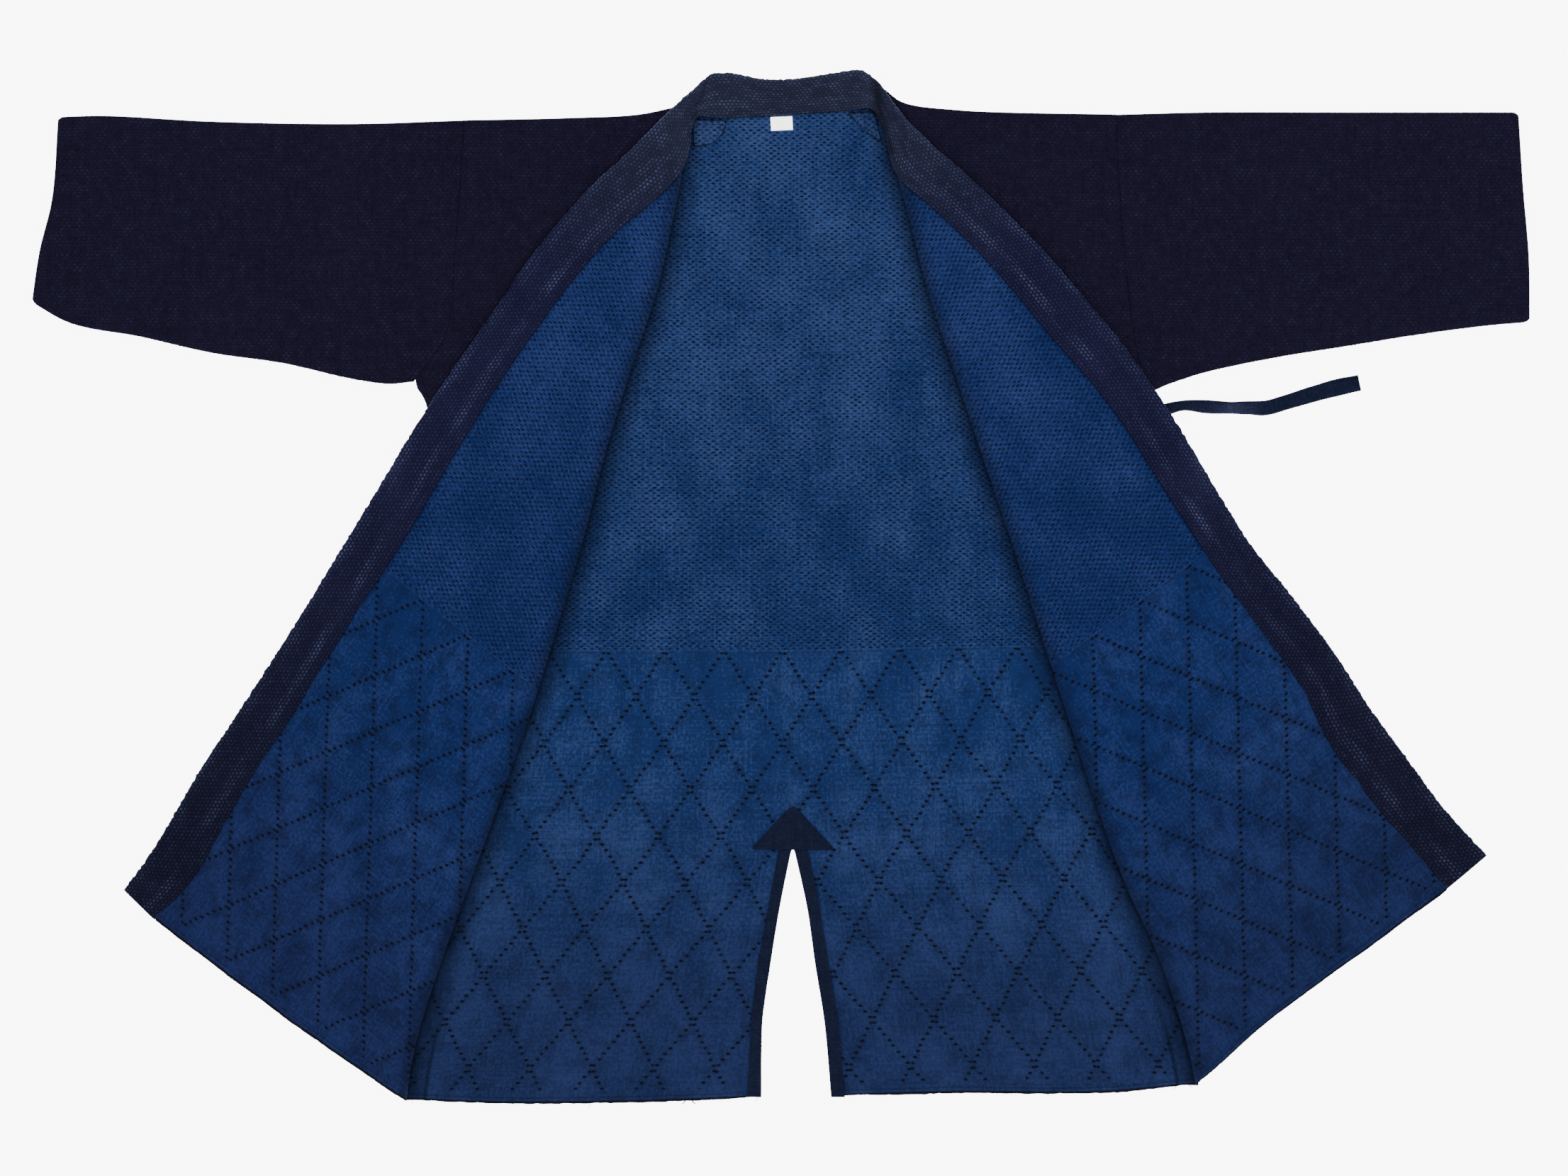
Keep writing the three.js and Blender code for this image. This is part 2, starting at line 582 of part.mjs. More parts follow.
function foldRoll(side) {
  const rows = FOLD[side];
  const curve = curveThrough(rows);
  const seam = along(SIDE[side]);
  const sections = rows.map((row) => {
    const seamX = (seam.find(({ y }) => y <= row.y) ?? seam.at(-1)).x;
    const arm = THREE.MathUtils.clamp(Math.abs(seamX - row.x), ROLL_LEAST_ARM, ROLL_WIDTH);
    return rollSection(row.height, arm);
  });
  const rings = rows.map((row, i) => {
    const run = curve.getTangent(i / (rows.length - 1));
    const outX = side === 'left' ? run.y : -run.y;
    const outY = side === 'left' ? -run.x : run.x;
    return sections[i].map(({ out, z }) => {
      const [x, y] = [row.x + outX * out, row.y + outY * out];
      const onBody = 2 * (CLOTH + GAP) + bed(row.y);
      const drop = z > CLOTH * 2 + GAP ? onBody - support(x, y) : 0;
      return [x, y, z + bed(row.y) - drop];
    });
  });
  return toSolid(sweep(rings, sections[0].map(({ out, z }) => [out, z])));
}

// The part of a front that is turned back, with its fold
function turnedFront(side) {
  const sign = side === 'left' ? 1 : -1;
  const frame = grain(QUILT_EDGE[side].x, QUILT_EDGE[side].y, FRONT_TURN[side]);
  const fold = along(FOLD[side]);
  const seamEdge = beside(collarInner[side], sign * SEAM_GAP).filter(({ x, y }) => {
    const level = fold.find((point) => point.y <= y) ?? fold.at(-1);
    return sign * (level.x - x) > 0;
  });
  const hem = along(FRONT_HEM[side]).reverse();
  const foldEdge = beside(fold, sign * ROLL_CLEAR).filter(({ y }) => y < seamEdge[0].y && y > hem.at(-1).y);
  const outline = [...seamEdge, ...hem.slice(1), ...foldEdge.reverse()];
  const rollZone = [
    ...beside(fold, sign * ROLL_WIDTH),
    ...beside(fold, -sign * (ROLL_WIDTH - ROLL_OVERLAP)).reverse(),
  ];
  const top = (x, y, u, v) => support(x, y) + CLOTH + (v < -CELL_HEIGHT / 2 ? pillow(u, v) : 0);
  const above = { grid: TURNED_TOP, heightOf: top };
  const flap = layer(outline, frame, above, { grid: TURNED_BOTTOM, heightOf: support })
    .subtract(prism(rollZone));
  return flap.add(foldRoll(side).intersect(prism(outline)));
}

function front(side) {
  return toGeometry(lowerFront(side).add(turnedFront(side)));
}

// Sleeves

function sleeve(side) {
  const { top, bottom, armhole, cuff } = SLEEVE[side];
  const [topEdge, bottomEdge, seam, opening] = [top, bottom, armhole, cuff].map(curveThrough);
  const place = (t, q) => {
    const point = new THREE.Vector3();
    point.addScaledVector(topEdge.getPointAt(t), 1 - q).addScaledVector(bottomEdge.getPointAt(t), q);
    point.addScaledVector(seam.getPointAt(q), 1 - t).addScaledVector(opening.getPointAt(q), t);
    point.addScaledVector(topEdge.getPointAt(0), -(1 - t) * (1 - q));
    point.addScaledVector(topEdge.getPointAt(1), -t * (1 - q));
    point.addScaledVector(bottomEdge.getPointAt(0), -(1 - t) * q);
    point.addScaledVector(bottomEdge.getPointAt(1), -t * q);
    return point;
  };
  const heightOf = (t, q) => {
    const bulge = Math.sqrt(Math.max(0, 4 * q * (1 - q)));
    const awayFromSeam = smooth(t / 0.25);
    let height = 2 * CLOTH + GAP + SLEEVE_PUFF * bulge * awayFromSeam;
    for (const ridge of SLEEVE_RIDGES[side]) {
      const middle = THREE.MathUtils.lerp(ridge.top, ridge.bottom, q);
      height += ridge.rise * bulge * awayFromSeam * Math.exp(-(((t - middle) / ridge.width) ** 2));
    }
    return height;
  };
  const rings = (t, wall) => {
    const width = place(t, 0).distanceTo(place(t, 1));
    const squeeze = (q) => THREE.MathUtils.lerp(wall / width, 1 - wall / width, q);
    const upper = sleeveLines.map((q) => [squeeze(q), heightOf(t, q) - wall]);
    const lower = sleeveLines.map((q) => [squeeze(q), wall]).reverse();
    const middle = heightOf(t, 0) / 2;
    const ring = [[squeeze(0), middle], ...upper, [squeeze(1), middle], ...lower];
    return ring.map(([q, z]) => {
      const { x, y } = place(t, q);
      return [x, y, z];
    });
  };
  const shares = Array.from({ length: SLEEVE_SECTIONS + 1 }, (_, k) => k / SLEEVE_SECTIONS);
  const walls = [0, CLOTH].map((wall) => shares.map((t) => rings(t, wall)));
  return tube(walls[0], walls[1]);
}

// A wall between two nested tubes of rings, open at both ends
function tube(outer, inner) {
  const count = outer[0].length;
  const start = outer.length * count;
  const indices = [];
  for (let i = 0; i < outer.length - 1; i += 1) {
    for (let j = 0; j < count; j += 1) {
      const [a, b] = [i * count + j, i * count + ((j + 1) % count)];
      indices.push(a, a + count, b, b, a + count, b + count);
      indices.push(start + a, start + b, start + a + count, start + b, start + b + count, start + a + count);
    }
  }
  const last = (outer.length - 1) * count;
  for (let j = 0; j < count; j += 1) {
    const next = (j + 1) % count;
    indices.push(j, next, start + j, next, start + next, start + j);
    indices.push(last + j, start + last + j, last + next, last + next, start + last + j, start + last + next);
  }
  return outward(fromLists([...outer.flat(), ...inner.flat()], indices));
}

// Collar

function collar() {
  const acrossBottom = [0.04, 0.35, 0.65, 0.96];
  const acrossTop = [...acrossBottom].reverse();
  const rings = collarStations.map(({ inner, outer, lift }) => {
    const point = (c) => new THREE.Vector3().lerpVectors(inner, outer, c);
    const under = (c) => {
      const { x, y } = point(c);
      return lift * support(x, y);
    };
    const over = (c) => under(c) + COLLAR_THICK + COLLAR_CROWN * Math.sin(Math.PI * c);
    const side = (c) => [point(c).x, point(c).y, under(c) + COLLAR_THICK / 2];
    return [
      side(0),
      ...acrossBottom.map((c) => [point(c).x, point(c).y, under(c)]),
      side(1),
      ...acrossTop.map((c) => [point(c).x, point(c).y, over(c)]),
    ];
  });
  const section = [
    [0, COLLAR_THICK / 2], ...acrossBottom.map((c) => [c, 0]), [1, COLLAR_THICK / 2],
    ...acrossTop.map((c) => [c, COLLAR_THICK]),
  ];
  return sweep(rings, section);
}

// Small pieces

function ventBinding(side) {
  const sign = side === 'left' ? -1 : 1;
  const edge = side === 'left' ? 'left' : 'right';
  const outer = side === 'left' ? 'boundLeft' : 'boundRight';
  const rows = VENT.map((row) => ({ edge: row[edge] + sign * SEAM_GAP, outer: row[outer], y: row.y }));
  return toGeometry(onBack([
    ...rows.map((row) => ({ x: row.edge, y: row.y })),
    ...rows.map((row) => ({ x: row.outer, y: row.y })).reverse(),
  ], BINDING));
}

function tie() {
  const middle = new THREE.CatmullRomCurve3(TIE.map(({ x, y, z }) => new THREE.Vector3(x, y, z)));
  const value = (name, share) => {
    const at = share * (TIE.length - 1);
    const i = Math.min(TIE.length - 2, Math.floor(at));
    return THREE.MathUtils.lerp(TIE[i][name], TIE[i + 1][name], smooth(at - i));
  };
  const section = [[-1, 0], [-0.86, -1], [0, -1], [0.86, -1], [1, 0], [0.86, 1], [0, 1], [-0.86, 1]];
  const rings = Array.from({ length: TIE_STEPS + 1 }, (_, k) => {
    const share = k / TIE_STEPS;
    const point = middle.getPoint(share);
    const run = middle.getTangent(share);
    const flat = new THREE.Vector2(-run.y, run.x).normalize();
    const roll = THREE.MathUtils.degToRad(value('roll', share));
    const [half, halfThick] = [value('width', share) / 2, TIE_THICK / 2];
    const lift = Math.max(0, half * Math.sin(roll) + halfThick * Math.cos(roll) - point.z);
    return section.map(([across, face]) => {
      const s = across * half * Math.cos(roll) - face * halfThick * Math.sin(roll);
      const z = across * half * Math.sin(roll) + face * halfThick * Math.cos(roll);
      return [point.x + flat.x * s, point.y + flat.y * s, point.z + lift + z];
    });
  });
  return sweep(rings, section);
}

// The jacket

const INDIGO_INSIDE = { color: 0x1c3a68, roughness: 0.92, metalness: 0 };
const INDIGO_FADED = { color: 0x2b4a78, roughness: 0.94, metalness: 0 };
const NAVY_OUTSIDE = { color: 0x161629, roughness: 0.9, metalness: 0 };
const NAVY_COLLAR = { color: 0x151a35, roughness: 0.88, metalness: 0 };
const NAVY_TRIM = { color: 0x17192e, roughness: 0.85, metalness: 0 };
const WHITE_LABEL = { color: 0xf2f1ec, roughness: 0.6, metalness: 0 };

function piece(name, geometry, finish) {
  const mesh = new THREE.Mesh(geometry, new THREE.MeshStandardMaterial(finish));
  mesh.name = name;
  return mesh;
}

const jacket = new THREE.Group();
jacket.add(piece('back', back(), INDIGO_INSIDE));
for (const side of ['left', 'right']) {
  jacket.add(piece(`front_${side}`, front(side), INDIGO_INSIDE));
  jacket.add(piece(`sleeve_${side}`, sleeve(side), NAVY_OUTSIDE));
  jacket.add(piece(`vent_binding_${side}`, ventBinding(side), NAVY_TRIM));
  jacket.add(piece(`neck_patch_${side}`, toGeometry(onBack(NECK_PATCH[side], PATCH)), INDIGO_FADED));
}
jacket.add(piece('collar', collar(), NAVY_COLLAR));
jacket.add(piece('tie_right', tie(), NAVY_TRIM));
jacket.add(piece('vent_patch', toGeometry(onBack(VENT_PATCH, BINDING)), NAVY_TRIM));
jacket.add(piece('neck_label', toGeometry(onBack(NECK_LABEL, LABEL)), WHITE_LABEL));

export default jacket;
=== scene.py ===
# %% [markdown]
# # A sashiko jacket, laid open flat
# This lesson dresses a jacket of stitched indigo cotton in Blender. It lies on its outside, and both
# fronts are turned back, so that the paler inside shows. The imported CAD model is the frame: every
# piece made here lies where its solid lies, and hides it.

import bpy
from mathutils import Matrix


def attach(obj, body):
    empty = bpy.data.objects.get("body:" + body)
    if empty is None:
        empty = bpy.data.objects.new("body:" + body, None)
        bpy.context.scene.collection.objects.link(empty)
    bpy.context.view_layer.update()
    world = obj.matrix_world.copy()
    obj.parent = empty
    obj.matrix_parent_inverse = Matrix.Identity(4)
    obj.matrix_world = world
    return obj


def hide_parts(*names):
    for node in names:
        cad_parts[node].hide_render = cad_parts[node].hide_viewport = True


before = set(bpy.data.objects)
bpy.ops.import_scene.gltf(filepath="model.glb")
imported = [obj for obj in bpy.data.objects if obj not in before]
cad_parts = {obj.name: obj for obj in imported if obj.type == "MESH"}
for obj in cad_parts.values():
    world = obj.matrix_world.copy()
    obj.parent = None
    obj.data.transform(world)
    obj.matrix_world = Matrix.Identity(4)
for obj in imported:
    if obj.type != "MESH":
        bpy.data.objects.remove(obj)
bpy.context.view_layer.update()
print("solids:", ", ".join(sorted(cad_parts)))

# %% Tools and sizes of the cloth
import math
from functools import partialmethod

import bmesh
import bpy
import numpy as np

MM = 0.001  # tables are in millimetres, and meshes in metres
CLOTH = 2.4
GAP = 0.3  # between two layers
LAYER = CLOTH + GAP
SEAM_GAP = 0.4  # between pieces that meet side by side
SEWN_IN = 1.6  # how far an edge reaches into the collar band
COLLAR_THICK = 5.2
COLLAR_CROWN = 0.7
PATCH = 1.2
BINDING = 1.4
LABEL = 0.6
STEP = 4.2  # between the lines of a mesh
FAR = 40.0  # stands for a place with no edge near it
INWARD = {"left": 1, "right": -1}  # the way from each side to the middle line
print("one layer is", CLOTH, "mm thick, and meshes have a line every", STEP, "mm")

# %% [markdown]
# ## Curves
# Cut cloth has smooth edges, so each edge is a short list of measured points with a curve through
# them. The curve is a centripetal one: it passes through its points, and it doesn't swing out where
# they stand unevenly. `measured` gives places at shares of its length.


# %% A curve through points
def spline(points, at):
    points = np.asarray(points, float)
    last = len(points) - 1
    at = np.clip(np.asarray(at, float), 0, last)
    k = np.minimum(at.astype(int), last - 1)
    t = (at - k)[:, None]
    ends = np.vstack([2 * points[0] - points[1], points, 2 * points[-1] - points[-2]])
    a, b, c, d = (ends[k + i] for i in range(4))
    ab, bc, cd = (
        np.sqrt(np.linalg.norm(q - p, axis=1))[:, None] for p, q in ((a, b), (b, c), (c, d))
    )
    leave = ((b - a) / ab - (c - a) / (ab + bc) + (c - b) / bc) * bc
    arrive = ((c - b) / bc - (d - b) / (bc + cd) + (d - c) / cd) * bc
    bend = 3 * (c - b) - 2 * leave - arrive
    return b + leave * t + bend * t**2 + (2 * (b - c) + leave + arrive) * t**3


def evenly(count):
    return np.linspace(0, 1, count)


def distances(line):
    return np.concatenate([[0], np.cumsum(np.linalg.norm(np.diff(line, axis=0), axis=1))])


def spread(line, shares, run=None):
    run = distances(line) if run is None else run
    at = np.asarray(shares) * run[-1]
    return np.stack([np.interp(at, run, axis) for axis in line.T], 1)


def measured(points, shares):
    return spread(spline(points, np.linspace(0, len(points) - 1, 40 * len(points))), shares)


def length_of(points):
    fine = measured(points, evenly(200))
    return float(np.linalg.norm(np.diff(fine, axis=0), axis=1).sum())


def along(points, step=26):
    return measured(points, evenly(max(2, round(length_of(points) / step)) + 1))


def headings(line):
    run = np.gradient(line, axis=0)
    return run / np.linalg.norm(run, axis=1)[:, None]


def beside(points, distance):
    run = headings(points)
    return points + np.stack([-run[:, 1], run[:, 0]], 1) * distance


# %% [markdown]
# ## The pattern pieces
# These are the places of the jacket's edges, seen from above, with the neck at the top. The same
# measures made the solids, so the dressed pieces meet as the solids do.

# %% Edges of the body, x and y
SHOULDER = {
    "left": [(-90, 421), (-125, 414), (-187, 411), (-277, 409)],
    "right": [(91, 436), (106, 425), (154, 418), (294, 414)],
}
SIDE = {
    "left": [(-321, 180), (-309, 158), (-317, -150), (-325, -447)],
    "right": [(321, 170), (326, 150), (344, -150), (361, -434)],
}
HEM = {
    "left": [(-325, -447), (-249, -450), (-125, -449), (-17, -445)],
    "right": [(361, -434), (278, -441), (154, -441), (44, -444)],
}
FRONT_HEM = {
    "left": [(-326, -448), (-404, -396), (-466, -351), (-546, -290)],
    "right": [(362, -435), (433, -374), (495, -328), (582, -263)],
}
VENT = {
    "left": [(-17, -444), (-16, -378), (-9, -328), (-1, -279), (9, -229)],
    "right": [(44, -444), (38, -378), (30, -328), (23, -279), (12, -229)],
}
VENT_BOUND = {
    "left": [(-29, -444), (-26, -378), (-20, -328), (-11, -279), (-2, -229)],
    "right": [(56, -444), (50, -378), (42, -328), (34, -279), (24, -229)],
}
print("hem of the back:", round(length_of(HEM["left"]) + length_of(HEM["right"])), "mm")

# %% Folds of the fronts, x, y and height of the roll
FOLD = {
    "left": [
        (-86, 372, 10.4), (-91, 341, 10.2), (-106, 267, 9.6), (-130, 193, 9.2), (-153, 118, 9.4),
        (-172, 44, 8.8), (-194, -31, 9.1), (-217, -105, 8.7), (-243, -179, 9.0), (-270, -254, 8.6),
        (-297, -328, 8.7), (-319, -400, 8.4), (-328, -456, 8.2),
    ],
    "right": [
        (97, 378, 10.6), (108, 341, 10.0), (126, 267, 9.7), (150, 193, 9.0), (175, 118, 9.3),
        (200, 44, 8.9), (224, -31, 9.2), (248, -105, 8.8), (272, -179, 8.9), (299, -254, 8.7),
        (332, -328, 8.6), (355, -400, 8.4), (364, -444, 8.2),
    ],
}

# %% Edges of the sleeves, x and y
SLEEVE = {
    "left": {
        "top": [(-277, 409), (-373, 406), (-497, 408), (-590, 413), (-631, 412)],
        "bottom": [
            (-321, 181), (-342, 179), (-373, 183), (-435, 197), (-497, 206), (-559, 220),
            (-621, 232), (-654, 250),
        ],
        "armhole": [(-277, 409), (-280, 360), (-284, 310), (-291, 228), (-302, 206), (-321, 181)],
        "cuff": [(-631, 412), (-636, 341), (-647, 295), (-654, 250)],
    },
    "right": {
        "top": [(294, 414), (371, 416), (495, 416), (619, 416), (644, 416)],
        "bottom": [
            (321, 171), (340, 179), (371, 189), (433, 202), (495, 212), (557, 222), (619, 230),
            (654, 233),
        ],
        "armhole": [(294, 414), (295, 370), (303, 267), (312, 205), (321, 171)],
        "cuff": [(644, 416), (648, 350), (653, 290), (654, 233)],
    },
}

# %% The collar band from hem to hem: inner x and y, outer x and y, lift onto the layers below
COLLAR = np.array([
    (-547, -289, -574, -263, 1), (-514, -254, -550, -230, 1), (-471, -179, -506, -156, 1),
    (-423, -105, -457, -82, 1), (-377, -31, -411, -9, 1), (-328, 44, -364, 68, 1),
    (-284, 118, -319, 141, 1), (-253, 168, -289, 187, 1), (-220, 217, -254, 237, 1),
    (-183, 267, -217, 291, 1), (-147, 308, -175, 341, 1), (-122, 329, -153, 363, 1),
    (-100, 348, -133, 381, 1), (-85, 366, -118, 396, 1), (-79, 385, -104, 410, 1),
    (-77, 402, -90, 424, 1), (-72, 411.5, -76, 436, 1), (-58, 411, -62, 449, 0),
    (-44, 411, -48, 451, 0), (-10, 413, -12, 445, 0), (24, 415, 24, 447, 0),
    (52, 417, 54, 452, 0), (66, 418, 70, 453, 0), (79, 418.5, 84, 443, 1),
    (87, 407, 98, 425, 1), (92, 390, 109, 410, 1), (98, 366, 122, 397, 1),
    (108, 352, 139, 381, 1), (129, 335, 160, 363, 1), (174, 292, 205, 320, 1),
    (206, 256, 239, 284, 1), (238, 217, 274, 243, 1), (270, 181, 304, 206, 1),
    (299, 143, 332, 165, 1), (326, 100, 360, 121, 1), (346, 69, 379, 89, 1),
    (379, 19, 411, 38, 1), (415, -31, 447, -7, 1), (451, -80, 485, -58, 1),
    (479, -134, 514, -103, 1), (511, -179, 549, -151, 1), (545, -219, 582, -195, 1),
    (582, -262, 617, -233, 1),
], float)
NECK_ROWS = (16, 23)  # the rows just outside the part that goes round the neck
print("the collar band is", round(length_of(COLLAR[:, 2:4])), "mm long on its outer edge")

# %% [markdown]
# ## Heights
# The back lies on the floor. Its lower part is quilted in diamonds, which puff up between the
# stitched lines. The fronts lie on it, so they rise with it, and where a turned front leaves the
# body it comes down to the floor. Each of these is a height over a place (x, y), which is easier
# to steer than a simulation, and it keeps every piece clear of its neighbours.

# %% Quilting
QUILT_WIDTH = 51.3
QUILT_HEIGHT = 81.2
QUILT_RISE = 1.0
CROSSING = (1.5, -135)  # where two lines of the quilting cross
QUILT_TOP = CROSSING[1] + QUILT_HEIGHT  # the rice stitch is above this line


def smooth(value):
    t = np.clip(value, 0, 1)
    return t * t * (3 - 2 * t)


def pillow(u, v):
    rising = np.abs(np.sin(math.pi * (u / QUILT_WIDTH + v / QUILT_HEIGHT)))
    falling = np.abs(np.sin(math.pi * (u / QUILT_WIDTH - v / QUILT_HEIGHT)))
    return QUILT_RISE * (rising * falling) ** 0.6


def bed(y):
    return QUILT_RISE * smooth((QUILT_TOP + QUILT_HEIGHT / 2 - y) / (QUILT_HEIGHT / 2))


# %% What the fronts lie on
DROP_START = 14  # a front stays up this far beyond the back
DROP_LENGTH = 36  # and comes down over this distance
underlay = np.vstack([
    along(SHOULDER["right"])[:-1], along(SLEEVE["right"]["top"]),
    along(SLEEVE["right"]["bottom"])[::-1], along(SIDE["right"])[1:],
    along(HEM["left"])[::-1], along(SIDE["left"])[::-1][:-1],
    along(SLEEVE["left"]["bottom"]), along(SLEEVE["left"]["top"])[::-1],
    along(SHOULDER["left"])[::-1][1:],
])


def distance_outside(outline, x, y):
    least = np.full(x.shape, np.inf)
    inside = np.zeros(x.shape, bool)
    for (ax, ay), (bx, by) in zip(outline, np.roll(outline, -1, axis=0)):
        dx, dy = bx - ax, by - ay
        share = np.clip(((x - ax) * dx + (y - ay) * dy) / (dx * dx + dy * dy + 1e-9), 0, 1)
        least = np.minimum(least, np.hypot(x - ax - share * dx, y - ay - share * dy))
        crosses = (ay > y) != (by > y)
        inside ^= crosses & (x < dx * (y - ay) / (dy if dy else 1e-9) + ax)
    return np.where(inside, 0, least)


def support(x, y):
    outside = distance_outside(underlay, x, y)
    return (2 * LAYER + bed(y)) * (1 - smooth((outside - DROP_START) / DROP_LENGTH))


print("a front rests", round(float(support(np.array([-200.0]), np.array([-200.0]))[0]), 2), "mm up")

# %% [markdown]
# ## Creases
# Stitched cotton is thick and keeps its creases soft. Each crease is listed: a line from
# one place to another, how high it stands (or sinks, below zero) and how wide it is. A little
# rumpling, from a few crossing waves with a fixed seed, keeps flat cloth from looking ruled.


# %% Creases and rumpling
def creases(x, y, rows):
    height = np.zeros(x.shape)
    for ax, ay, bx, by, rise, width in rows:
        dx, dy = bx - ax, by - ay
        long = math.hypot(dx, dy)
        share = ((x - ax) * dx + (y - ay) * dy) / long**2
        bow = 0.035 * long * np.sin(math.pi * np.clip(share, 0, 1))
        across = ((x - ax) * dy - (y - ay) * dx) / long + bow
        taper = np.sin(math.pi * np.clip(share, 0, 1)) ** 0.7
        height += rise * taper * np.exp(-((across / width) ** 2))
    return height


def rumple(x, y, size, seed):
    chance = np.random.default_rng(seed)
    total = np.zeros(x.shape)
    for _ in range(7):
        angle, phase = chance.uniform(0, 2 * math.pi, 2)
        turn = 2 * math.pi / (size * chance.uniform(0.7, 1.5))
        total += np.sin((x * math.cos(angle) + y * math.sin(angle)) * turn + phase)
    return total / 4


# %% [markdown]
# ## Making a mesh of cloth
# A piece of cloth is a thin closed shell: a grid of points on its upper face, the same grid on its
# lower face, and a narrow wall round the rim. A grid between four edges follows curved outlines
# exactly, where a boolean cut would leave slivers. Each corner also gets its place in the uncut
# cloth, in metres, as a UV map: the stitching is laid out in it, so it turns with the cloth. A second
# map, Edge, says how far a place is from its hem and from the fold beside it. On the collar it holds
# the distance from its creases, and on a small patch that from its own edge.


# %% A grid between four edges
def patch(low, high, left, right, s, t):
    s = s[None, :, None]
    t = t[:, None, None]
    low, high = low[None], high[None]
    left, right = left[:, None], right[:, None]
    corners = (1 - t) * ((1 - s) * low[:, :1] + s * low[:, -1:])
    corners = corners + t * ((1 - s) * high[:, :1] + s * high[:, -1:])
    return (1 - t) * low + t * high + (1 - s) * left + s * right - corners


def quads_of(ids):
    return np.stack([ids[:-1, :-1], ids[:-1, 1:], ids[1:, 1:], ids[1:, :-1]], -1).reshape(-1, 4)


def grid_quads(rows, columns, start=0):
    ids = start + np.arange(rows * columns).reshape(rows, columns)
    return ids, quads_of(ids)


def rim_of(ids):
    return np.concatenate([ids[0, :-1], ids[:-1, -1], ids[-1, :0:-1], ids[:0:-1, 0]])


# %% A closed shell
def shell(name, top, bottom, quads, walls, cloth, finishes, edge=None):
    faces = np.vstack([quads, quads[:, ::-1] + len(top), walls])
    mesh = bpy.data.meshes.new(name)
    mesh.from_pydata((np.vstack([top, bottom]) * MM).tolist(), [], faces.tolist())
    edge = np.full(cloth.shape, FAR) if edge is None else edge
    for key, places in (("Cloth", cloth), ("Edge", edge)):
        corners = np.vstack([places, places])[faces.ravel()] * MM
        mesh.uv_layers.new(name=key).data.foreach_set("uv", corners.ravel())
    for finish in finishes:
        mesh.materials.append(finish)
    last = len(finishes) - 1
    chosen = np.repeat([0, min(1, last), last], [len(quads), len(quads), len(walls)])
    mesh.polygons.foreach_set("material_index", chosen.astype(np.int32))
    return finished(name, mesh)


def walled(name, top, bottom, quads, rim, cloth, finishes, edge=None):
    turned = np.roll(rim, -1)
    walls = np.stack([rim, turned, turned + len(top), rim + len(top)], 1)
    return shell(name, top, bottom, quads, walls, cloth, finishes, edge)


def finished(name, mesh):
    made = bmesh.new()
    made.from_mesh(mesh)
    bmesh.ops.recalc_face_normals(made, faces=made.faces)
    made.to_mesh(mesh)
    made.free()
    mesh.polygons.foreach_set("use_smooth", np.ones(len(mesh.polygons), bool))
    mesh.set_sharp_from_angle(angle=math.radians(50))
    thing = bpy.data.objects.new(name, mesh)
    bpy.context.scene.collection.objects.link(thing)
    print(name, "has", len(mesh.polygons), "faces")
    return thing


def wear(thing, node):
    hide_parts(node)
    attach(thing, "root")


# %% [markdown]
# ## Building with nodes
# The patterns are all worked out by nodes from the cloth's own coordinates. These few helpers add
# a node and join it in one call, so that a pattern reads like a small sum.


# %% Helpers for nodes
class Bench:
    def __init__(self, tree):
        self.tree = tree

    def node(self, kind, inputs=(), **settings):
        made = self.tree.nodes.new(kind)
        for key, value in settings.items():
            setattr(made, key, value)
        for key, value in dict(inputs).items():
            self.feed(made.inputs[key], value)
        return made

    def feed(self, socket, value):
        if isinstance(value, bpy.types.NodeSocket):
            self.tree.links.new(value, socket)
        else:
            socket.default_value = value

    def sum(self, operation, *values):
        made = self.node("ShaderNodeMath", operation=operation)
        for socket, value in zip(made.inputs, values):
            self.feed(socket, value)
        return made.outputs[0]

    add = partialmethod(sum, "ADD")
    sub = partialmethod(sum, "SUBTRACT")
    mul = partialmethod(sum, "MULTIPLY")
    div = partialmethod(sum, "DIVIDE")
    mul_add = partialmethod(sum, "MULTIPLY_ADD")
    most = partialmethod(sum, "MAXIMUM")
    floor = partialmethod(sum, "FLOOR")
    size = partialmethod(sum, "ABSOLUTE")

    def away(self, value, middle):
        return self.size(self.sub(value, middle))

    def length(self, x, y):
        return self.sum("SQRT", self.add(self.mul(x, x), self.mul(y, y)))

    def parts(self, vector):
        return self.node("ShaderNodeSeparateXYZ", {0: vector}).outputs

    def join(self, x, y, z=0.0):
        return self.node("ShaderNodeCombineXYZ", {0: x, 1: y, 2: z}).outputs[0]

    def noise(self, place, cells, detail):
        stretched = self.node("ShaderNodeVectorMath", {0: place, 1: cells}, operation="MULTIPLY")
        inputs = {"Vector": stretched.outputs[0], "Scale": 1.0, "Detail": detail}
        return self.node("ShaderNodeTexNoise", inputs).outputs["Fac"]

    def chance(self, vector):
        return self.node("ShaderNodeTexWhiteNoise", {"Vector": vector}).outputs["Value"]

    def ramp(self, value, low, high, start=0.0, end=1.0):
        inputs = {"Value": value, "From Min": low, "From Max": high, "To Min": start, "To Max": end}
        made = self.node("ShaderNodeMapRange", inputs, interpolation_type="SMOOTHSTEP")
        return made.outputs[0]

    def mix(self, share, a, b):
        made = self.node("ShaderNodeMix", data_type="RGBA")
        self.feed(made.inputs[0], share)
        self.feed(made.inputs[6], a)
        self.feed(made.inputs[7], b)
        return made.outputs[2]

    def group(self, tree, **inputs):
        made = self.node("ShaderNodeGroup", node_tree=tree)
        for key, value in inputs.items():
            self.feed(made.inputs[key.replace("_", " ")], value)
        return made.outputs


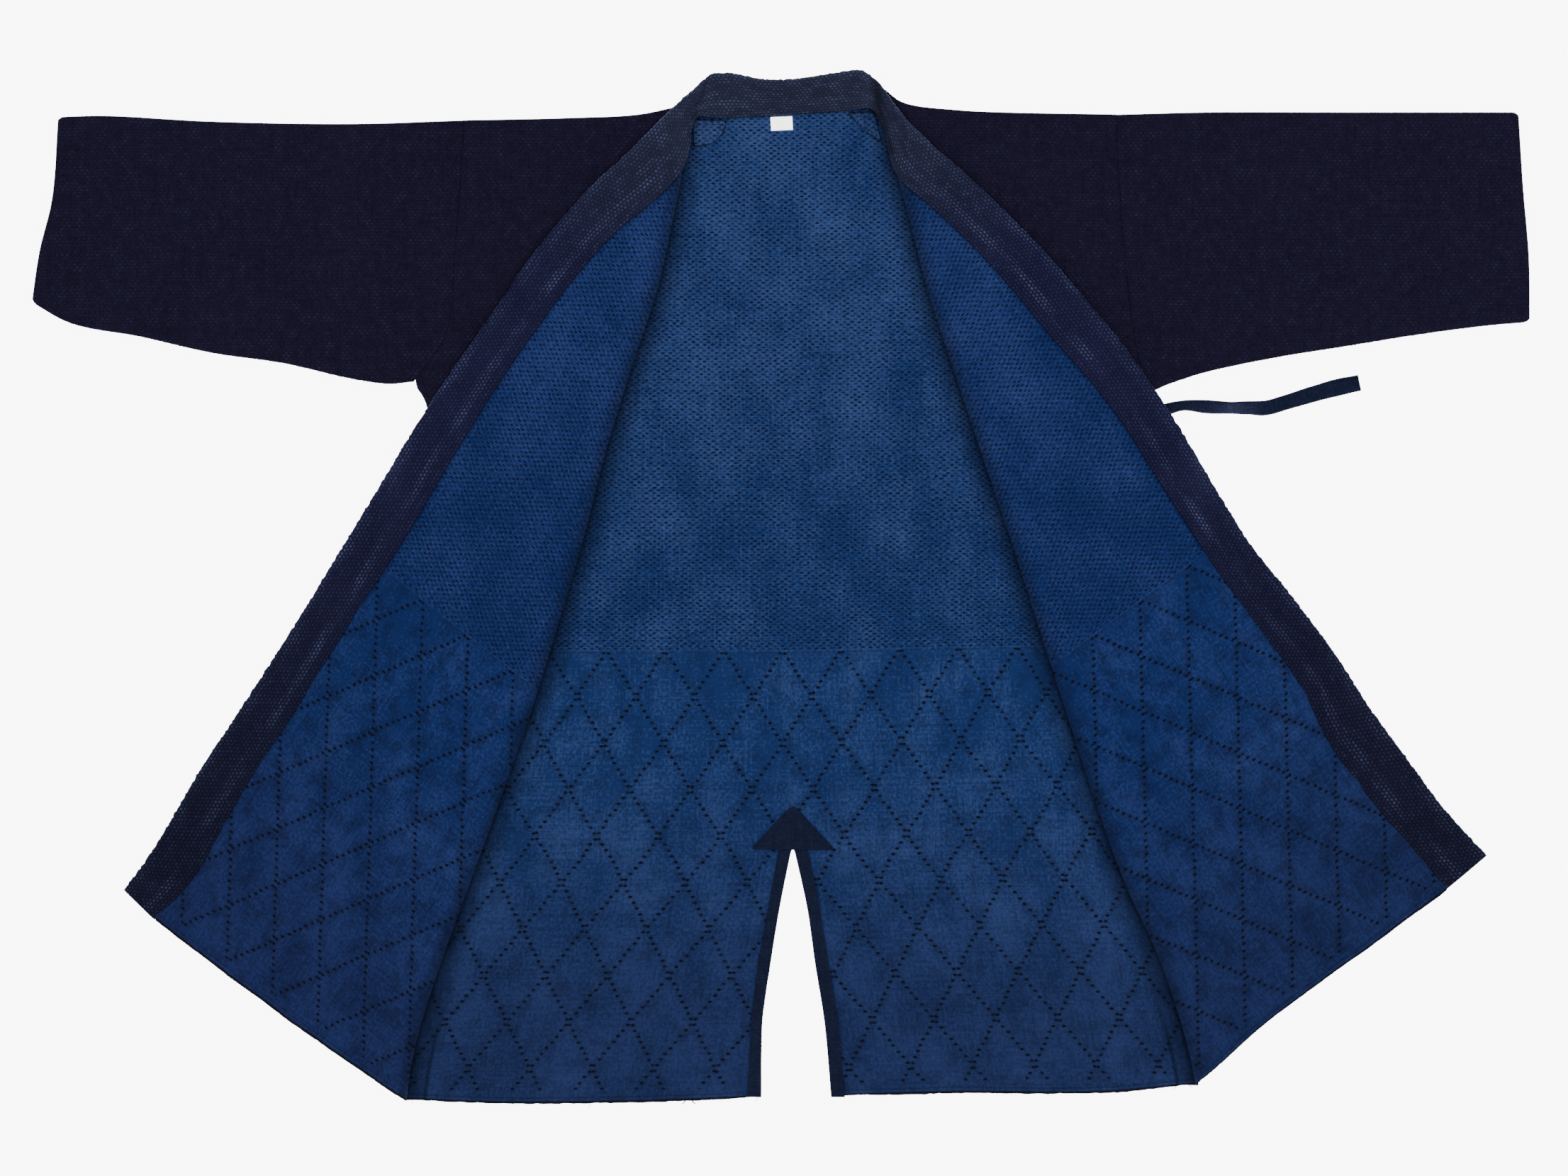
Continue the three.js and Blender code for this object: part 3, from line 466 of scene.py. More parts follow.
def new_group(name, vectors, floats, outputs):
    tree = bpy.data.node_groups.new(name, "ShaderNodeTree")
    for key in vectors:
        tree.interface.new_socket(key, in_out="INPUT", socket_type="NodeSocketVector")
    for key, value in floats.items():
        socket = tree.interface.new_socket(key, in_out="INPUT", socket_type="NodeSocketFloat")
        socket.default_value = value
    for key in outputs:
        tree.interface.new_socket(key, in_out="OUTPUT", socket_type="NodeSocketFloat")
    bench = Bench(tree)
    return tree, bench, bench.node("NodeGroupInput").outputs, bench.node("NodeGroupOutput")


def paint(red, green, blue):
    shares = (red / 255, green / 255, blue / 255)
    linear = [((c + 0.055) / 1.055) ** 2.4 if c > 10 / 255 else c / 12.92 for c in shares]
    return (*linear, 1.0)


# %% [markdown]
# ## Uneven dye
# Indigo lies on the outside of cotton threads and wears off, so the cloth is never one blue. There
# are fine streaks along the threads, broad blotches and tiny pale specks. This group adds them up
# into one tone, which several finishes use.

# %% Group: uneven dye
uneven_dye, bench, given, out = new_group(
    "Uneven dye", ["Cloth"], {"Streaks": 0.5, "Blotches": 0.5, "Specks": 0.5}, ["Tone"]
)
streaks = bench.noise(given["Cloth"], (520, 16, 1), 3)
cross_streaks = bench.noise(given["Cloth"], (14, 640, 1), 2)
blotches = bench.noise(given["Cloth"], (22, 15, 1), 5)
specks = bench.noise(given["Cloth"], (430, 330, 1), 4)
both = bench.add(bench.sub(streaks, 0.5), bench.sub(cross_streaks, 0.5))
tone = bench.mul(both, given["Streaks"])
tone = bench.mul_add(bench.sub(blotches, 0.5), given["Blotches"], tone)
tone = bench.mul_add(bench.sub(specks, 0.5), given["Specks"], tone)
bench.feed(out.inputs["Tone"], tone)

# %% [markdown]
# ## Rice stitch
# The upper part is covered in short stitches in staggered rows. On the inside only the small dips
# between them show dark. On the outside and the collar it is the raised stitches that catch the
# light. The group gives one spot for each stitch: rows are counted with `FLOOR`, every second row
# is moved by half a stitch, and each spot varies a little.

# %% Group: rice stitch
rice_stitch, bench, given, out = new_group(
    "Rice stitch",
    ["Cloth"],
    {"Pitch": 0.006, "Row": 0.0025, "Length": 0.003, "Width": 0.0015, "Waver": 0.0006},
    ["Spot", "Strength"],
)
drift = bench.noise(given["Cloth"], (45, 45, 1), 1)
drift = bench.mul(bench.sub(drift, 0.5), given["Waver"])
u, v, _ = bench.parts(given["Cloth"])
rows = bench.div(bench.add(v, drift), given["Row"])
row = bench.floor(rows)
half = bench.mul(bench.sum("FLOORED_MODULO", row, 2.0), 0.5)
row_luck = bench.chance(bench.join(row, 3.1))
stitches = bench.add(bench.div(bench.add(u, drift), given["Pitch"]), half)
stitches = bench.mul_add(row_luck, 0.12, stitches)
stitch = bench.floor(stitches)
luck = bench.chance(bench.join(row, stitch))
across = bench.mul(bench.sub(bench.sub(stitches, stitch), 0.5), given["Pitch"])
upright = bench.mul(bench.sub(bench.sub(rows, row), 0.5), given["Row"])
far_u = bench.div(across, bench.mul(given["Length"], 0.5))
far_v = bench.div(upright, bench.mul(given["Width"], 0.5))
far = bench.length(far_u, far_v)
spot = bench.ramp(far, 0.55, 1.35, 1.0, 0.0)
bench.feed(out.inputs["Spot"], spot)
bench.feed(out.inputs["Strength"], bench.mul(spot, bench.mul_add(luck, 0.6, 0.45)))

# %% [markdown]
# ## Diamond stitch
# The lower part is quilted with running stitches in a lattice of tall diamonds, eight to a side.
# With `a = u / width + v / height` and `b = u / width - v / height` the two sets of lines are
# simply the whole numbers of a and of b, and the stitches sit halfway between the eighths of the
# other one, so that each crossing has four stitches round it and none on it.

# %% Group: diamond stitch
diamond_stitch, bench, given, out = new_group(
    "Diamond stitch",
    ["Cloth"],
    {"Width": 0.0513, "Height": 0.0812, "Length": 0.0026, "Thick": 0.0018},
    ["Spot", "Line"],
)
u, v, _ = bench.parts(given["Cloth"])
du = bench.div(u, given["Width"])
dv = bench.div(v, given["Height"])
a = bench.add(du, dv)
b = bench.sub(du, dv)
spots = []
lines = []
for whole, eighth, sign in ((a, b, 1.0), (b, a, -1.0)):
    near = bench.sum("ROUND", whole)
    step = bench.add(bench.floor(bench.mul(eighth, 8.0)), 0.5)
    step = bench.div(step, 8.0)
    luck = bench.node("ShaderNodeTexWhiteNoise", {"Vector": bench.join(near, step, sign)})
    shake = bench.parts(luck.outputs["Color"])
    middle_u = bench.mul(bench.mul(bench.add(near, step), 0.5), given["Width"])
    middle_v = bench.mul(bench.sub(near, step), 0.5 * sign)
    middle_v = bench.mul(middle_v, given["Height"])
    off_u = bench.sub(bench.sub(u, middle_u), bench.mul_add(shake[0], 0.0012, -0.0006))
    off_v = bench.sub(bench.sub(v, middle_v), bench.mul_add(shake[1], 0.0008, -0.0004))
    far_u = bench.div(off_u, bench.mul(given["Length"], 0.5))
    far_v = bench.div(off_v, bench.mul(given["Thick"], 0.5))
    far = bench.length(far_u, far_v)
    spot = bench.ramp(far, 0.6, 1.35, 1.0, 0.0)
    spots.append(bench.mul(spot, bench.mul_add(shake[2], 0.3, 0.8)))
    off_line = bench.away(whole, near)
    lines.append(bench.ramp(off_line, 0.0, 0.16, 1.0, 0.0))
bench.feed(out.inputs["Spot"], bench.most(*spots))
bench.feed(out.inputs["Line"], bench.most(*lines))
print("groups:", ", ".join(group.name for group in bpy.data.node_groups))


# %% [markdown]
# ## The indigo inside
# One finish function makes the inside of the cloth for the back and for the fronts, with their own
# blues. Above the boundary line (v = 0 in the cloth) it lays the rice stitch, and below it the
# diamonds. Dips are darker and feed a bump, and the quilting lines are pressed in. Shade is painted
# into the hollows between the rumples, and beside each fold, with a painted shadow line at the fold.


# %% Finish: indigo inside
def cotton(name):
    made = bpy.data.materials.new(name)
    made.use_nodes = True
    tree = made.node_tree
    shader = tree.nodes["Principled BSDF"]
    bench = Bench(tree)
    cloth = bench.node("ShaderNodeUVMap", uv_map="Cloth").outputs[0]
    return made, bench, shader, cloth


def complete(bench, shader, colour, height, strength, depth, roughness, shine):
    heights = {"Height": height, "Strength": strength, "Distance": depth}
    bump = bench.node("ShaderNodeBump", heights).outputs[0]
    inputs = {"Base Color": colour, "Normal": bump, "Roughness": roughness, "Specular IOR Level": shine}
    for key, value in inputs.items():
        bench.feed(shader.inputs[key], value)


def indigo_inside(name, plain, pale, dip, low_plain, low_pale, low_dip_and_shade, strip=0.0):
    made, bench, shader, cloth = cotton(name)
    u, v, _ = bench.parts(cloth)
    from_hem, from_fold, _ = bench.parts(bench.node("ShaderNodeUVMap", uv_map="Edge").outputs[0])
    lower = bench.ramp(v, -0.0022, -0.0012, 1.0, 0.0)
    upper = bench.ramp(v, -0.0006, 0.0004)
    tone = bench.group(uneven_dye, Cloth=cloth, Streaks=0.7, Blotches=1.55, Specks=2.0)[0]
    fade = bench.ramp(bench.away(v, 0.02), 0.0, 0.3, 0.2, 0.46)
    tone = bench.add(tone, fade)
    rice = bench.group(
        rice_stitch, Cloth=cloth, Pitch=0.00675, Row=0.00235, Length=0.0034, Width=0.00165, Waver=0.0024
    )
    dots = bench.group(diamond_stitch, Cloth=cloth, Length=0.0034, Thick=0.0023)
    high_ground = bench.mix(tone, plain, pale)
    low_ground = bench.mix(tone, low_plain, low_pale)
    dim_ground = bench.mix(bench.sub(tone, 0.12), plain, pale)
    low_ground = bench.mix(bench.ramp(v, -0.34, -0.04), low_ground, dim_ground)
    ground = bench.mix(lower, high_ground, low_ground)
    # the stitches of both parts, and painted shade in the hollows between the rumples
    dark = bench.mul(rice[1], upper)
    sewn = bench.mul(lower, bench.ramp(from_hem, 0.0085, 0.0125))
    dotted = bench.mul(dots[0], sewn)
    lined = bench.mul(dots[1], sewn)
    crumple = bench.noise(cloth, (75, 62, 1), 4)
    painted_hollow_shade = bench.ramp(crumple, 0.34, 0.55, 0.32 - 0.16 * strip, 0.0)
    ground = bench.mix(bench.mul(painted_hollow_shade, lower), ground, low_dip_and_shade)
    colour = bench.mix(dark, ground, dip)
    colour = bench.mix(bench.mul(lined, 0.07), colour, low_dip_and_shade)
    colour = bench.mix(dotted, colour, low_dip_and_shade)
    # painted shade beside a fold and a painted shadow line at it, the ragged cut edge,
    # the turned hem's own line and a hidden seam
    colour = bench.mix(bench.ramp(from_fold, 0.0, 0.024, 0.6, 0.0), colour, low_dip_and_shade)
    colour = bench.mix(bench.ramp(from_fold, 0.0, 0.005, 0.3, 0.0), colour, paint(5, 10, 26))
    ragged = bench.noise(cloth, (420, 420, 1), 2)
    ragged = bench.mul_add(ragged, -0.0016, from_hem)
    cut = bench.ramp(ragged, 0.0011, 0.002, 0.95, 0.0)
    turn = bench.ramp(bench.away(ragged, 0.0044), 0.0, 0.001, 0.4, 0.0)
    colour = bench.mix(bench.most(cut, turn), colour, paint(14, 15, 32))
    seam = bench.ramp(bench.away(from_fold, 0.015), 0.0002, 0.0028, strip, 0.0)
    seam = bench.mul(seam, bench.ramp(v, -0.36, -0.29, 1.0, 0.0))
    colour = bench.mix(seam, colour, low_dip_and_shade)
    weave = bench.noise(cloth, (1500, 1500, 1), 2)
    height = bench.mul(weave, 0.16)
    height = bench.mul_add(crumple, bench.ramp(lower, 0.0, 1.0, 0.8, 6.0), height)
    for pressed, depth in ((dark, -1.0), (dotted, -1.1), (lined, -0.6), (seam, -1.5)):
        height = bench.mul_add(pressed, depth, height)
    roughness = bench.ramp(tone, 0.0, 1.0, 0.96, 0.86)
    complete(bench, shader, colour, height, 0.85, 0.0009, roughness, 0.12)
    shader.inputs["Sheen Weight"].default_value = 0.06
    shader.inputs["Sheen Roughness"].default_value = 0.5
    return made


inside_back = indigo_inside(
    "indigo inside of the back",
    paint(27, 49, 102), paint(60, 86, 142), paint(2, 18, 54),
    paint(24, 39, 80), paint(42, 58, 108), paint(2, 11, 32), 0.6,
)
inside_left = indigo_inside(
    "indigo inside of the left front",
    paint(22, 41, 95), paint(51, 69, 131), paint(2, 17, 54),
    paint(22, 33, 76), paint(38, 52, 106), paint(2, 10, 30),
)
inside_right = indigo_inside(
    "indigo inside of the right front",
    paint(23, 42, 97), paint(51, 69, 130), paint(3, 18, 56),
    paint(20, 32, 73), paint(35, 50, 101), paint(2, 10, 30),
)
print("blues:", inside_back.name, "and the two fronts")

# %% [markdown]
# ## The navy outside
# The outside keeps almost all its dye. It is nearly black, with a touch of purple, and its rice
# stitches stand up as small grains. Specular light is kept low, because a strong highlight would
# turn such a dark cloth grey.


# %% Finish: navy outside
def navy(name, plain, pale, worn, pitch, row, length, width):
    made, bench, shader, cloth = cotton(name)
    tone = bench.group(uneven_dye, Cloth=cloth, Streaks=0.5, Blotches=0.35, Specks=1.5)[0]
    tone = bench.add(tone, 0.4)
    grain = bench.group(
        rice_stitch, Cloth=cloth, Pitch=pitch, Row=row, Length=length, Width=width, Waver=0.0012
    )
    ground = bench.mix(tone, plain, pale)
    wear_share = bench.noise(cloth, (120, 90, 1), 5)
    wear_share = bench.mul(grain[1], bench.ramp(wear_share, 0.35, 0.85))
    colour = bench.mix(wear_share, ground, worn)
    fuzz = bench.noise(cloth, (1300, 1300, 1), 2)
    height = bench.mul_add(fuzz, 0.35, grain[0])
    roughness = bench.ramp(tone, 0.0, 1.0, 0.97, 0.84)
    complete(bench, shader, colour, height, 0.8, 0.0008, roughness, 0.08)
    return made


outside = navy(
    "navy outside", paint(20, 16, 38), paint(36, 31, 58), paint(50, 47, 76),
    pitch=0.0044, row=0.0027, length=0.0032, width=0.002,
)
trim = navy(
    "navy trim", paint(20, 25, 50), paint(36, 42, 72), paint(50, 56, 84),
    pitch=0.0016, row=0.0011, length=0.001, width=0.0008,
)

# %% Finish: cut edge
cut_edge, bench, shader, _ = cotton("cut edge")
place = bench.node("ShaderNodeTexCoord").outputs["Object"]
fibres = bench.noise(place, (900, 900, 500), 2)
bench.feed(shader.inputs["Base Color"], bench.mix(fibres, paint(7, 8, 18), paint(20, 21, 38)))
shader.inputs["Roughness"].default_value = 0.95
shader.inputs["Specular IOR Level"].default_value = 0.05

# %% [markdown]
# ## The collar
# The band is the thickest part and its stitches are the most worn. Rows of small pale stitches run
# along it. They are brightest along its outer fold and on a strip two thirds of the way in, where
# it has rubbed, and the low ends are darker. The cloth map of the band runs along it, so `v` is
# the distance across.

# %% Finish: collar
collar_cloth, bench, shader, cloth = cotton("navy collar")
run, across, _ = bench.parts(cloth)
tone = bench.group(uneven_dye, Cloth=cloth, Streaks=0.5, Blotches=0.9, Specks=0.8)[0]
tone = bench.add(tone, 0.45)
dots = bench.group(
    rice_stitch, Cloth=cloth, Pitch=0.0037, Row=0.0026, Length=0.0027, Width=0.002, Waver=0.001
)
from_crease, _, _ = bench.parts(bench.node("ShaderNodeUVMap", uv_map="Edge").outputs[0])
low_end = bench.ramp(bench.size(run), 0.45, 0.85)
near_neck = bench.ramp(bench.size(run), 0.07, 0.3, 1.0, 0.0)
ground = bench.mix(tone, paint(17, 15, 46), paint(34, 31, 70))
ground = bench.mix(low_end, ground, bench.mix(tone, paint(12, 12, 34), paint(24, 24, 50)))
ground = bench.mix(near_neck, ground, bench.mix(tone, paint(30, 32, 52), paint(46, 48, 72)))
inner_strip = bench.ramp(bench.away(across, 0.012), 0.001, 0.006, 1.0, 0.0)
outer_strip = bench.ramp(across, 0.026, 0.036)
rubbed = bench.noise(cloth, (22, 60, 1), 3)
rubbed = bench.ramp(rubbed, 0.35, 0.7)
strips = bench.mul_add(outer_strip, 0.55, bench.mul(inner_strip, 0.65))
share = bench.mul(dots[1], bench.mul_add(strips, rubbed, 0.14))
share = bench.mul(share, bench.mul_add(low_end, -0.3, 1.0))
few = bench.noise(cloth, (70, 170, 1), 3)
few = bench.mul(dots[1], bench.ramp(few, 0.4, 0.68, 0.08, 0.55))
share = bench.most(share, bench.mul(few, bench.mul_add(near_neck, 0.85, 0.4)))
colour = bench.mix(share, ground, paint(88, 98, 138))
# painted shade along the creases where the band turns at the neck
colour = bench.mix(bench.ramp(from_crease, 0.0, 0.0065, 0.55, 0.0), colour, paint(8, 9, 20))
fuzz = bench.noise(cloth, (1300, 1300, 1), 2)
height = bench.mul_add(fuzz, 0.25, dots[0])
roughness = bench.ramp(tone, 0.0, 1.0, 0.95, 0.82)
complete(bench, shader, colour, height, 0.9, 0.0008, roughness, 0.1)

# %% Finishes: neck patches and label
faded_blues = [paint(34, 52, 98), paint(70, 92, 146), paint(12, 30, 66)]
faded = indigo_inside("faded indigo", *faded_blues, *faded_blues)
white_label, bench, shader, cloth = cotton("white label")
tone = bench.group(uneven_dye, Cloth=cloth, Streaks=0.5, Blotches=0.3, Specks=0.3)[0]
sewn = bench.group(
    rice_stitch, Cloth=cloth, Pitch=0.0022, Row=0.0027, Length=0.0016, Width=0.0006, Waver=0.0
)
low_row = bench.ramp(bench.parts(cloth)[1], 0.0018, 0.0028, 1.0, 0.0)
colour = bench.mix(bench.add(tone, 0.4), paint(240, 238, 228), paint(252, 251, 246))
colour = bench.mix(bench.mul(sewn[0], low_row), colour, paint(205, 180, 110))
complete(bench, shader, colour, tone, 0.3, 0.0003, 0.6, 0.5)
# painted light: the label glows a little, so that it shows whiter than the lamps alone make it
shader.inputs["Emission Color"].default_value = (1.0, 0.99, 0.95, 1.0)
shader.inputs["Emission Strength"].default_value = 3.0
print("finishes:", ", ".join(finish.name for finish in bpy.data.materials if finish.users))

# %% [markdown]
# ## The back
# The back is one piece of cloth with a vent cut up from the hem. It is made as two grids, one on
# each side of the middle line. They share their points above the vent and part below it. Lines
# stand close together along the hem, where the turned edge makes a small step. Below the vent's
# top the tails spread, so the lattice of the quilting widens towards the hem.

# %% Lines of the back
HEM_LINES = [0, 1.6, 3.2, 4.6, 5.6, 6.6, 8.2, 11]
BACK_LENGTH = 856
rows_up = np.concatenate([HEM_LINES, np.arange(15, BACK_LENGTH, STEP), [BACK_LENGTH]]) / BACK_LENGTH
MIDDLE = 10.5  # x of the middle line
VENT_TOP = -226
NECK = 415


def at_heights(line, low, high, shares):
    line = line[np.argsort(line[:, 1])]
    y = low + (high - low) * shares
    return np.stack([np.interp(y, line[:, 1], line[:, 0]), y], 1)


def side_line(side, distance):
    armhole = beside(measured(SLEEVE[side]["armhole"], evenly(60)), distance)
    return np.vstack([armhole[:-1], measured(SIDE[side], evenly(120))[1:]])


def outer_edge(side):
    gap = INWARD[side] * SEAM_GAP
    line = side_line(side, gap)
    line = at_heights(line, line[-1, 1], line[0, 1], rows_up)
    line[:, 0] -= 10 * gap * smooth((-370 - line[:, 1]) / 60)  # the hem corner reaches out
    return line


def middle_edge(side):
    line = np.vstack([measured(VENT[side], evenly(60)), [(MIDDLE, VENT_TOP), (MIDDLE, NECK)]])
    return at_heights(line, -444.5, NECK, rows_up)


def top_edge(side, shares):
    neck = spline(COLLAR[:, :2], np.linspace(NECK_ROWS[0], NECK_ROWS[1], 60)) + (0, SEWN_IN)
    shoulder = measured(SHOULDER[side], evenly(60))
    if side == "left":
        line = [shoulder[::-1], [(-80, 411)], neck[neck[:, 0] < MIDDLE]]
    else:
        line = [shoulder[5:][::-1], [(85, 418)], neck[neck[:, 0] > MIDDLE][::-1]]
    return spread(np.vstack([*line, [(MIDDLE, NECK)]]), shares)


# %% Height of the back
HEM_RISE = 0.8
HEM_DEPTH = 4.8  # of the edge that is turned under
HEM_SLOPE = 1.6
BACK_CREASES = [
    (-60, 330, -150, 60, 0.5, 16), (70, 360, 160, 150, 0.45, 18), (-20, 395, -34, 250, 0.35, 12),
    (44, 398, 62, 270, 0.3, 11), (-140, 20, -70, -40, 0.4, 14), (150, 40, 60, -20, 0.35, 16),
    (-10, 60, 20, 320, 0.3, 22), (-230, -300, -120, -250, 0.5, 14), (-200, -380, -90, -410, 0.6, 11),
    (120, -300, 240, -330, 0.5, 13), (150, -400, 270, -380, 0.55, 12), (-60, -290, -40, -400, 0.4, 10),
    (80, -280, 100, -390, 0.45, 10), (-160, -330, -150, -430, 0.5, 8), (210, -360, 222, -430, 0.45, 8),
    (-95, -428, 0, -436, -0.5, 7), (90, -432, 190, -426, -0.45, 8), (-285, -420, -230, -434, 0.5, 9),
    (-305, -300, -290, -420, 0.6, 7), (318, -280, 338, -410, 0.6, 7),
]


def hem_line(x):
    left = measured(HEM["left"], evenly(60))
    right = measured(HEM["right"], evenly(60))[::-1]
    line = np.vstack([left, right])
    return np.interp(x, line[:, 0], line[:, 1])


def back_cloth(x, y):
    wider = 1 + 0.055 * smooth((-93 - y) / 120)
    apart = np.sign(x - MIDDLE) * 0.17 * np.clip(-235 - y, 0, None)
    return (x - CROSSING[0] - apart) / wider, y - QUILT_TOP - 0.02 * np.clip(x, 0, 200)


def turned_hem(from_hem):
    return HEM_RISE * (1 - smooth((from_hem - HEM_DEPTH) / HEM_SLOPE))


def back_height(x, y):
    u, v = back_cloth(x, y)
    quilted = pillow(u, v) * (v < 0)
    loose = smooth(-v / 120)
    relief = creases(x, y, BACK_CREASES)
    relief += rumple(x, y, 30, 3) * (0.12 + 0.28 * loose) + rumple(x, y, 14, 4) * 0.3 * loose
    from_hem = y - hem_line(x)
    flat = smooth((from_hem + 1) / 16)
    return CLOTH + (quilted + relief) * (0.45 + 0.55 * flat) + turned_hem(from_hem)


# %% Mesh of the back
across_half = {"left": evenly(78), "right": evenly(82)}
hem_chance = {"left": 41, "right": 42}  # a seed for each side
halves = {}
for side, shares in across_half.items():
    low = measured(HEM[side], shares)
    chance = np.random.default_rng(hem_chance[side])
    low[:, 1] += 0.7 * rumple(low[:, 0], low[:, 0] * 0, 60, 43) + chance.normal(0, 0.25, len(low))
    high = top_edge(side, shares)
    edge, mid = outer_edge(side), middle_edge(side)
    low[0], low[-1], high[0], high[-1] = edge[0], mid[0], edge[-1], mid[-1]
    halves[side] = patch(low, high, edge, mid, shares, rows_up)
rows = len(rows_up)
apex = int(np.searchsorted(halves["left"][:, -1, 1], VENT_TOP - 0.5))
left_ids, left_quads = grid_quads(rows, len(across_half["left"]))
right_ids, _ = grid_quads(rows, len(across_half["right"]), left_ids.size)
right_ids[apex:, -1] = left_ids[apex:, -1]
used = np.unique(np.concatenate([left_ids.ravel(), right_ids.ravel()]))
rim = np.concatenate([
    left_ids[apex:0:-1, -1], left_ids[0, :0:-1], left_ids[:-1, 0], left_ids[-1],
    right_ids[-1, -2:0:-1], right_ids[:0:-1, 0], right_ids[0, :-1], right_ids[:apex, -1],
])
plan = np.vstack([halves["left"].reshape(-1, 2), halves["right"].reshape(-1, 2)])[used]
quads = np.vstack([left_quads, quads_of(right_ids)[:, ::-1]])
top = np.column_stack([plan, back_height(plan[:, 0], plan[:, 1])])
bottom = np.column_stack([plan, np.zeros(len(plan))])
cloth_map = np.column_stack(back_cloth(plan[:, 0], plan[:, 1]))
# distance from each fold, by which the inside's finish paints shade beside it
fold_lines = [measured(np.array(FOLD[side])[:, :2], evenly(80))[::-1] for side in INWARD]
left_fold, right_fold = (np.interp(plan[:, 1], line[:, 1], line[:, 0]) for line in fold_lines)
from_fold = np.clip(np.minimum(plan[:, 0] - left_fold, right_fold - plan[:, 0]), 0, None)
edge_map = np.column_stack([plan[:, 1] - hem_line(plan[:, 0]), from_fold])
quads, rim = np.searchsorted(used, quads), np.searchsorted(used, rim)
finishes = [inside_back, outside, cut_edge]
back = walled("back_cloth", top, bottom, quads, rim, cloth_map, finishes, edge_map)

# %% Loose threads along the hem
THREADS = [  # x, y, length, way in degrees, bend in degrees, thickness
    (-167, -447.5, 9, -70, -95, 0.5), (-77, -446, 6, -105, 120, 1.1), (-84, -446, 6, -80, -100, 1.0),
    (-322, -445, 5, -100, 40, 0.6), (-308, -446, 4, -75, 30, 0.5), (-237, -448, 5, -60, 60, 0.5),
    (-214, -448, 5, -20, -50, 0.5), (-20, -444, 4, -120, 30, 0.6), (357, -432.5, 5, -80, 70, 0.6),
    (346, -434, 5, -110, -50, 0.5), (232, -440.5, 4, -60, 50, 0.5), (92, -441, 4, -130, 60, 0.5),
]
THREAD_STEPS = 7
QUARTERS = (0, 1.57, 3.14, 4.71)
rings = []
for x, y, length, way, bend, thickness in THREADS:
    place = np.array([x, y, 1.4])
    for k in range(THREAD_STEPS + 1):
        angle = math.radians(way + bend * k / THREAD_STEPS)
        ahead = np.array([math.cos(angle), math.sin(angle), 0])
        square = np.array([-ahead[1], ahead[0], 0])
        radius = thickness / 2 * (1 - 0.5 * (k / THREAD_STEPS) ** 3)
        ring = [square * math.cos(t) + [0, 0, math.sin(t)] for t in QUARTERS]
        rings.append([place + radius * point for point in ring])
        place = place + ahead * length / THREAD_STEPS
thread_faces = []
for number in range(len(THREADS)):
    base = number * 4 * (THREAD_STEPS + 1)
    for k in range(THREAD_STEPS):
        for m in range(4):
            a, b = base + 4 * k + m, base + 4 * k + (m + 1) % 4
            thread_faces.append((a, b, b + 4, a + 4))
    tip = base + 4 * THREAD_STEPS
    thread_faces += [(base + 3, base + 2, base + 1, base), (tip, tip + 1, tip + 2, tip + 3)]
thread_mesh = bpy.data.meshes.new("hem_threads")
thread_mesh.from_pydata((np.array(rings).reshape(-1, 3) * MM).tolist(), [], thread_faces)
thread_mesh.materials.append(trim)
threads = finished("hem_threads", thread_mesh)
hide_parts("back")
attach(threads, "root")
wear(back, "back")

# %% [markdown]
# ## The fronts
# Each front is cut in one piece, but it shows two faces. Its inner part lies on the back with the
# dark outside up. It runs to the fold, and the rest is turned back over it with the inside up.
# The two parts are made as two meshes that meet under the roll, where nobody can see the join.

# %% Lower part of a front
UNDER_END = -328  # below this y the turned part hides it all
UNDER_CREASES = {
    "left": [
        (-270, 380, -190, 300, 0.9, 11), (-262, 330, -215, 262, 0.7, 9), (-240, 404, -150, 352, 0.7, 10),
        (-290, 250, -272, 205, 0.9, 8), (-175, 404, -128, 370, -0.6, 8),
    ],
    "right": [
        (285, 385, 205, 310, 0.9, 11), (292, 320, 240, 262, 0.8, 9), (240, 408, 165, 352, 0.7, 10),
        (305, 240, 285, 205, 0.9, 8), (170, 408, 130, 375, -0.6, 8),
    ],
}


def front_under(side):
    sign = INWARD[side]
    rows = evenly(180)
    shares = evenly(46)
    edge_line = side_line(side, -sign * 1.2)
    fold = beside(measured(np.array(FOLD[side])[:, :2], evenly(120)), -sign * 8.4)
    neck = SHOULDER[side][0]
    fold_line = np.vstack([[neck], fold[4:]])
    edge = at_heights(edge_line, UNDER_END, edge_line[0, 1], rows)
    inner = at_heights(fold_line, UNDER_END, neck[1], rows)
    low = edge[0] + (inner[0] - edge[0]) * shares[:, None]
    high = measured(SHOULDER[side], 1 - shares)
    high[0], high[-1] = edge[-1], inner[-1]
    plan = patch(low, high, edge, inner, shares, rows)
    x, y = plan[..., 0].ravel(), plan[..., 1].ravel()
    low_z = LAYER + bed(y)
    relief = np.maximum(creases(x, y, UNDER_CREASES[side]) + rumple(x, y, 34, 8) * 0.2, -0.5)
    relief *= smooth((y - 150) / 60)
    relief[:: len(shares)] = -0.9  # the edge dips under the sleeve
    top = np.column_stack([x, y, low_z + CLOTH + relief])
    bottom = np.column_stack([x, y, low_z])
    ids, quads = grid_quads(len(rows), len(shares))
    cloth = np.column_stack([x, y])
    finishes = [outside, inside_back, cut_edge]
    return walled(f"front_{side}_under", top, bottom, quads, rim_of(ids), cloth, finishes)


# %% [markdown]
# The turned part starts under the fold, goes round it as a soft roll and lies back to the collar
# seam. Its section at the fold is a smooth line through a few points, given as distances from the
# fold and heights. The grain of the cloth is turned by folding, so its lattice leans.

# %% Section of the roll
ROLL_WIDTH = 30
ROLL_POINTS = 30
HIDDEN_POINTS = 14  # the points of the roll that lie on its lower side
FLAT_POINTS = 63  # from the roll to the collar


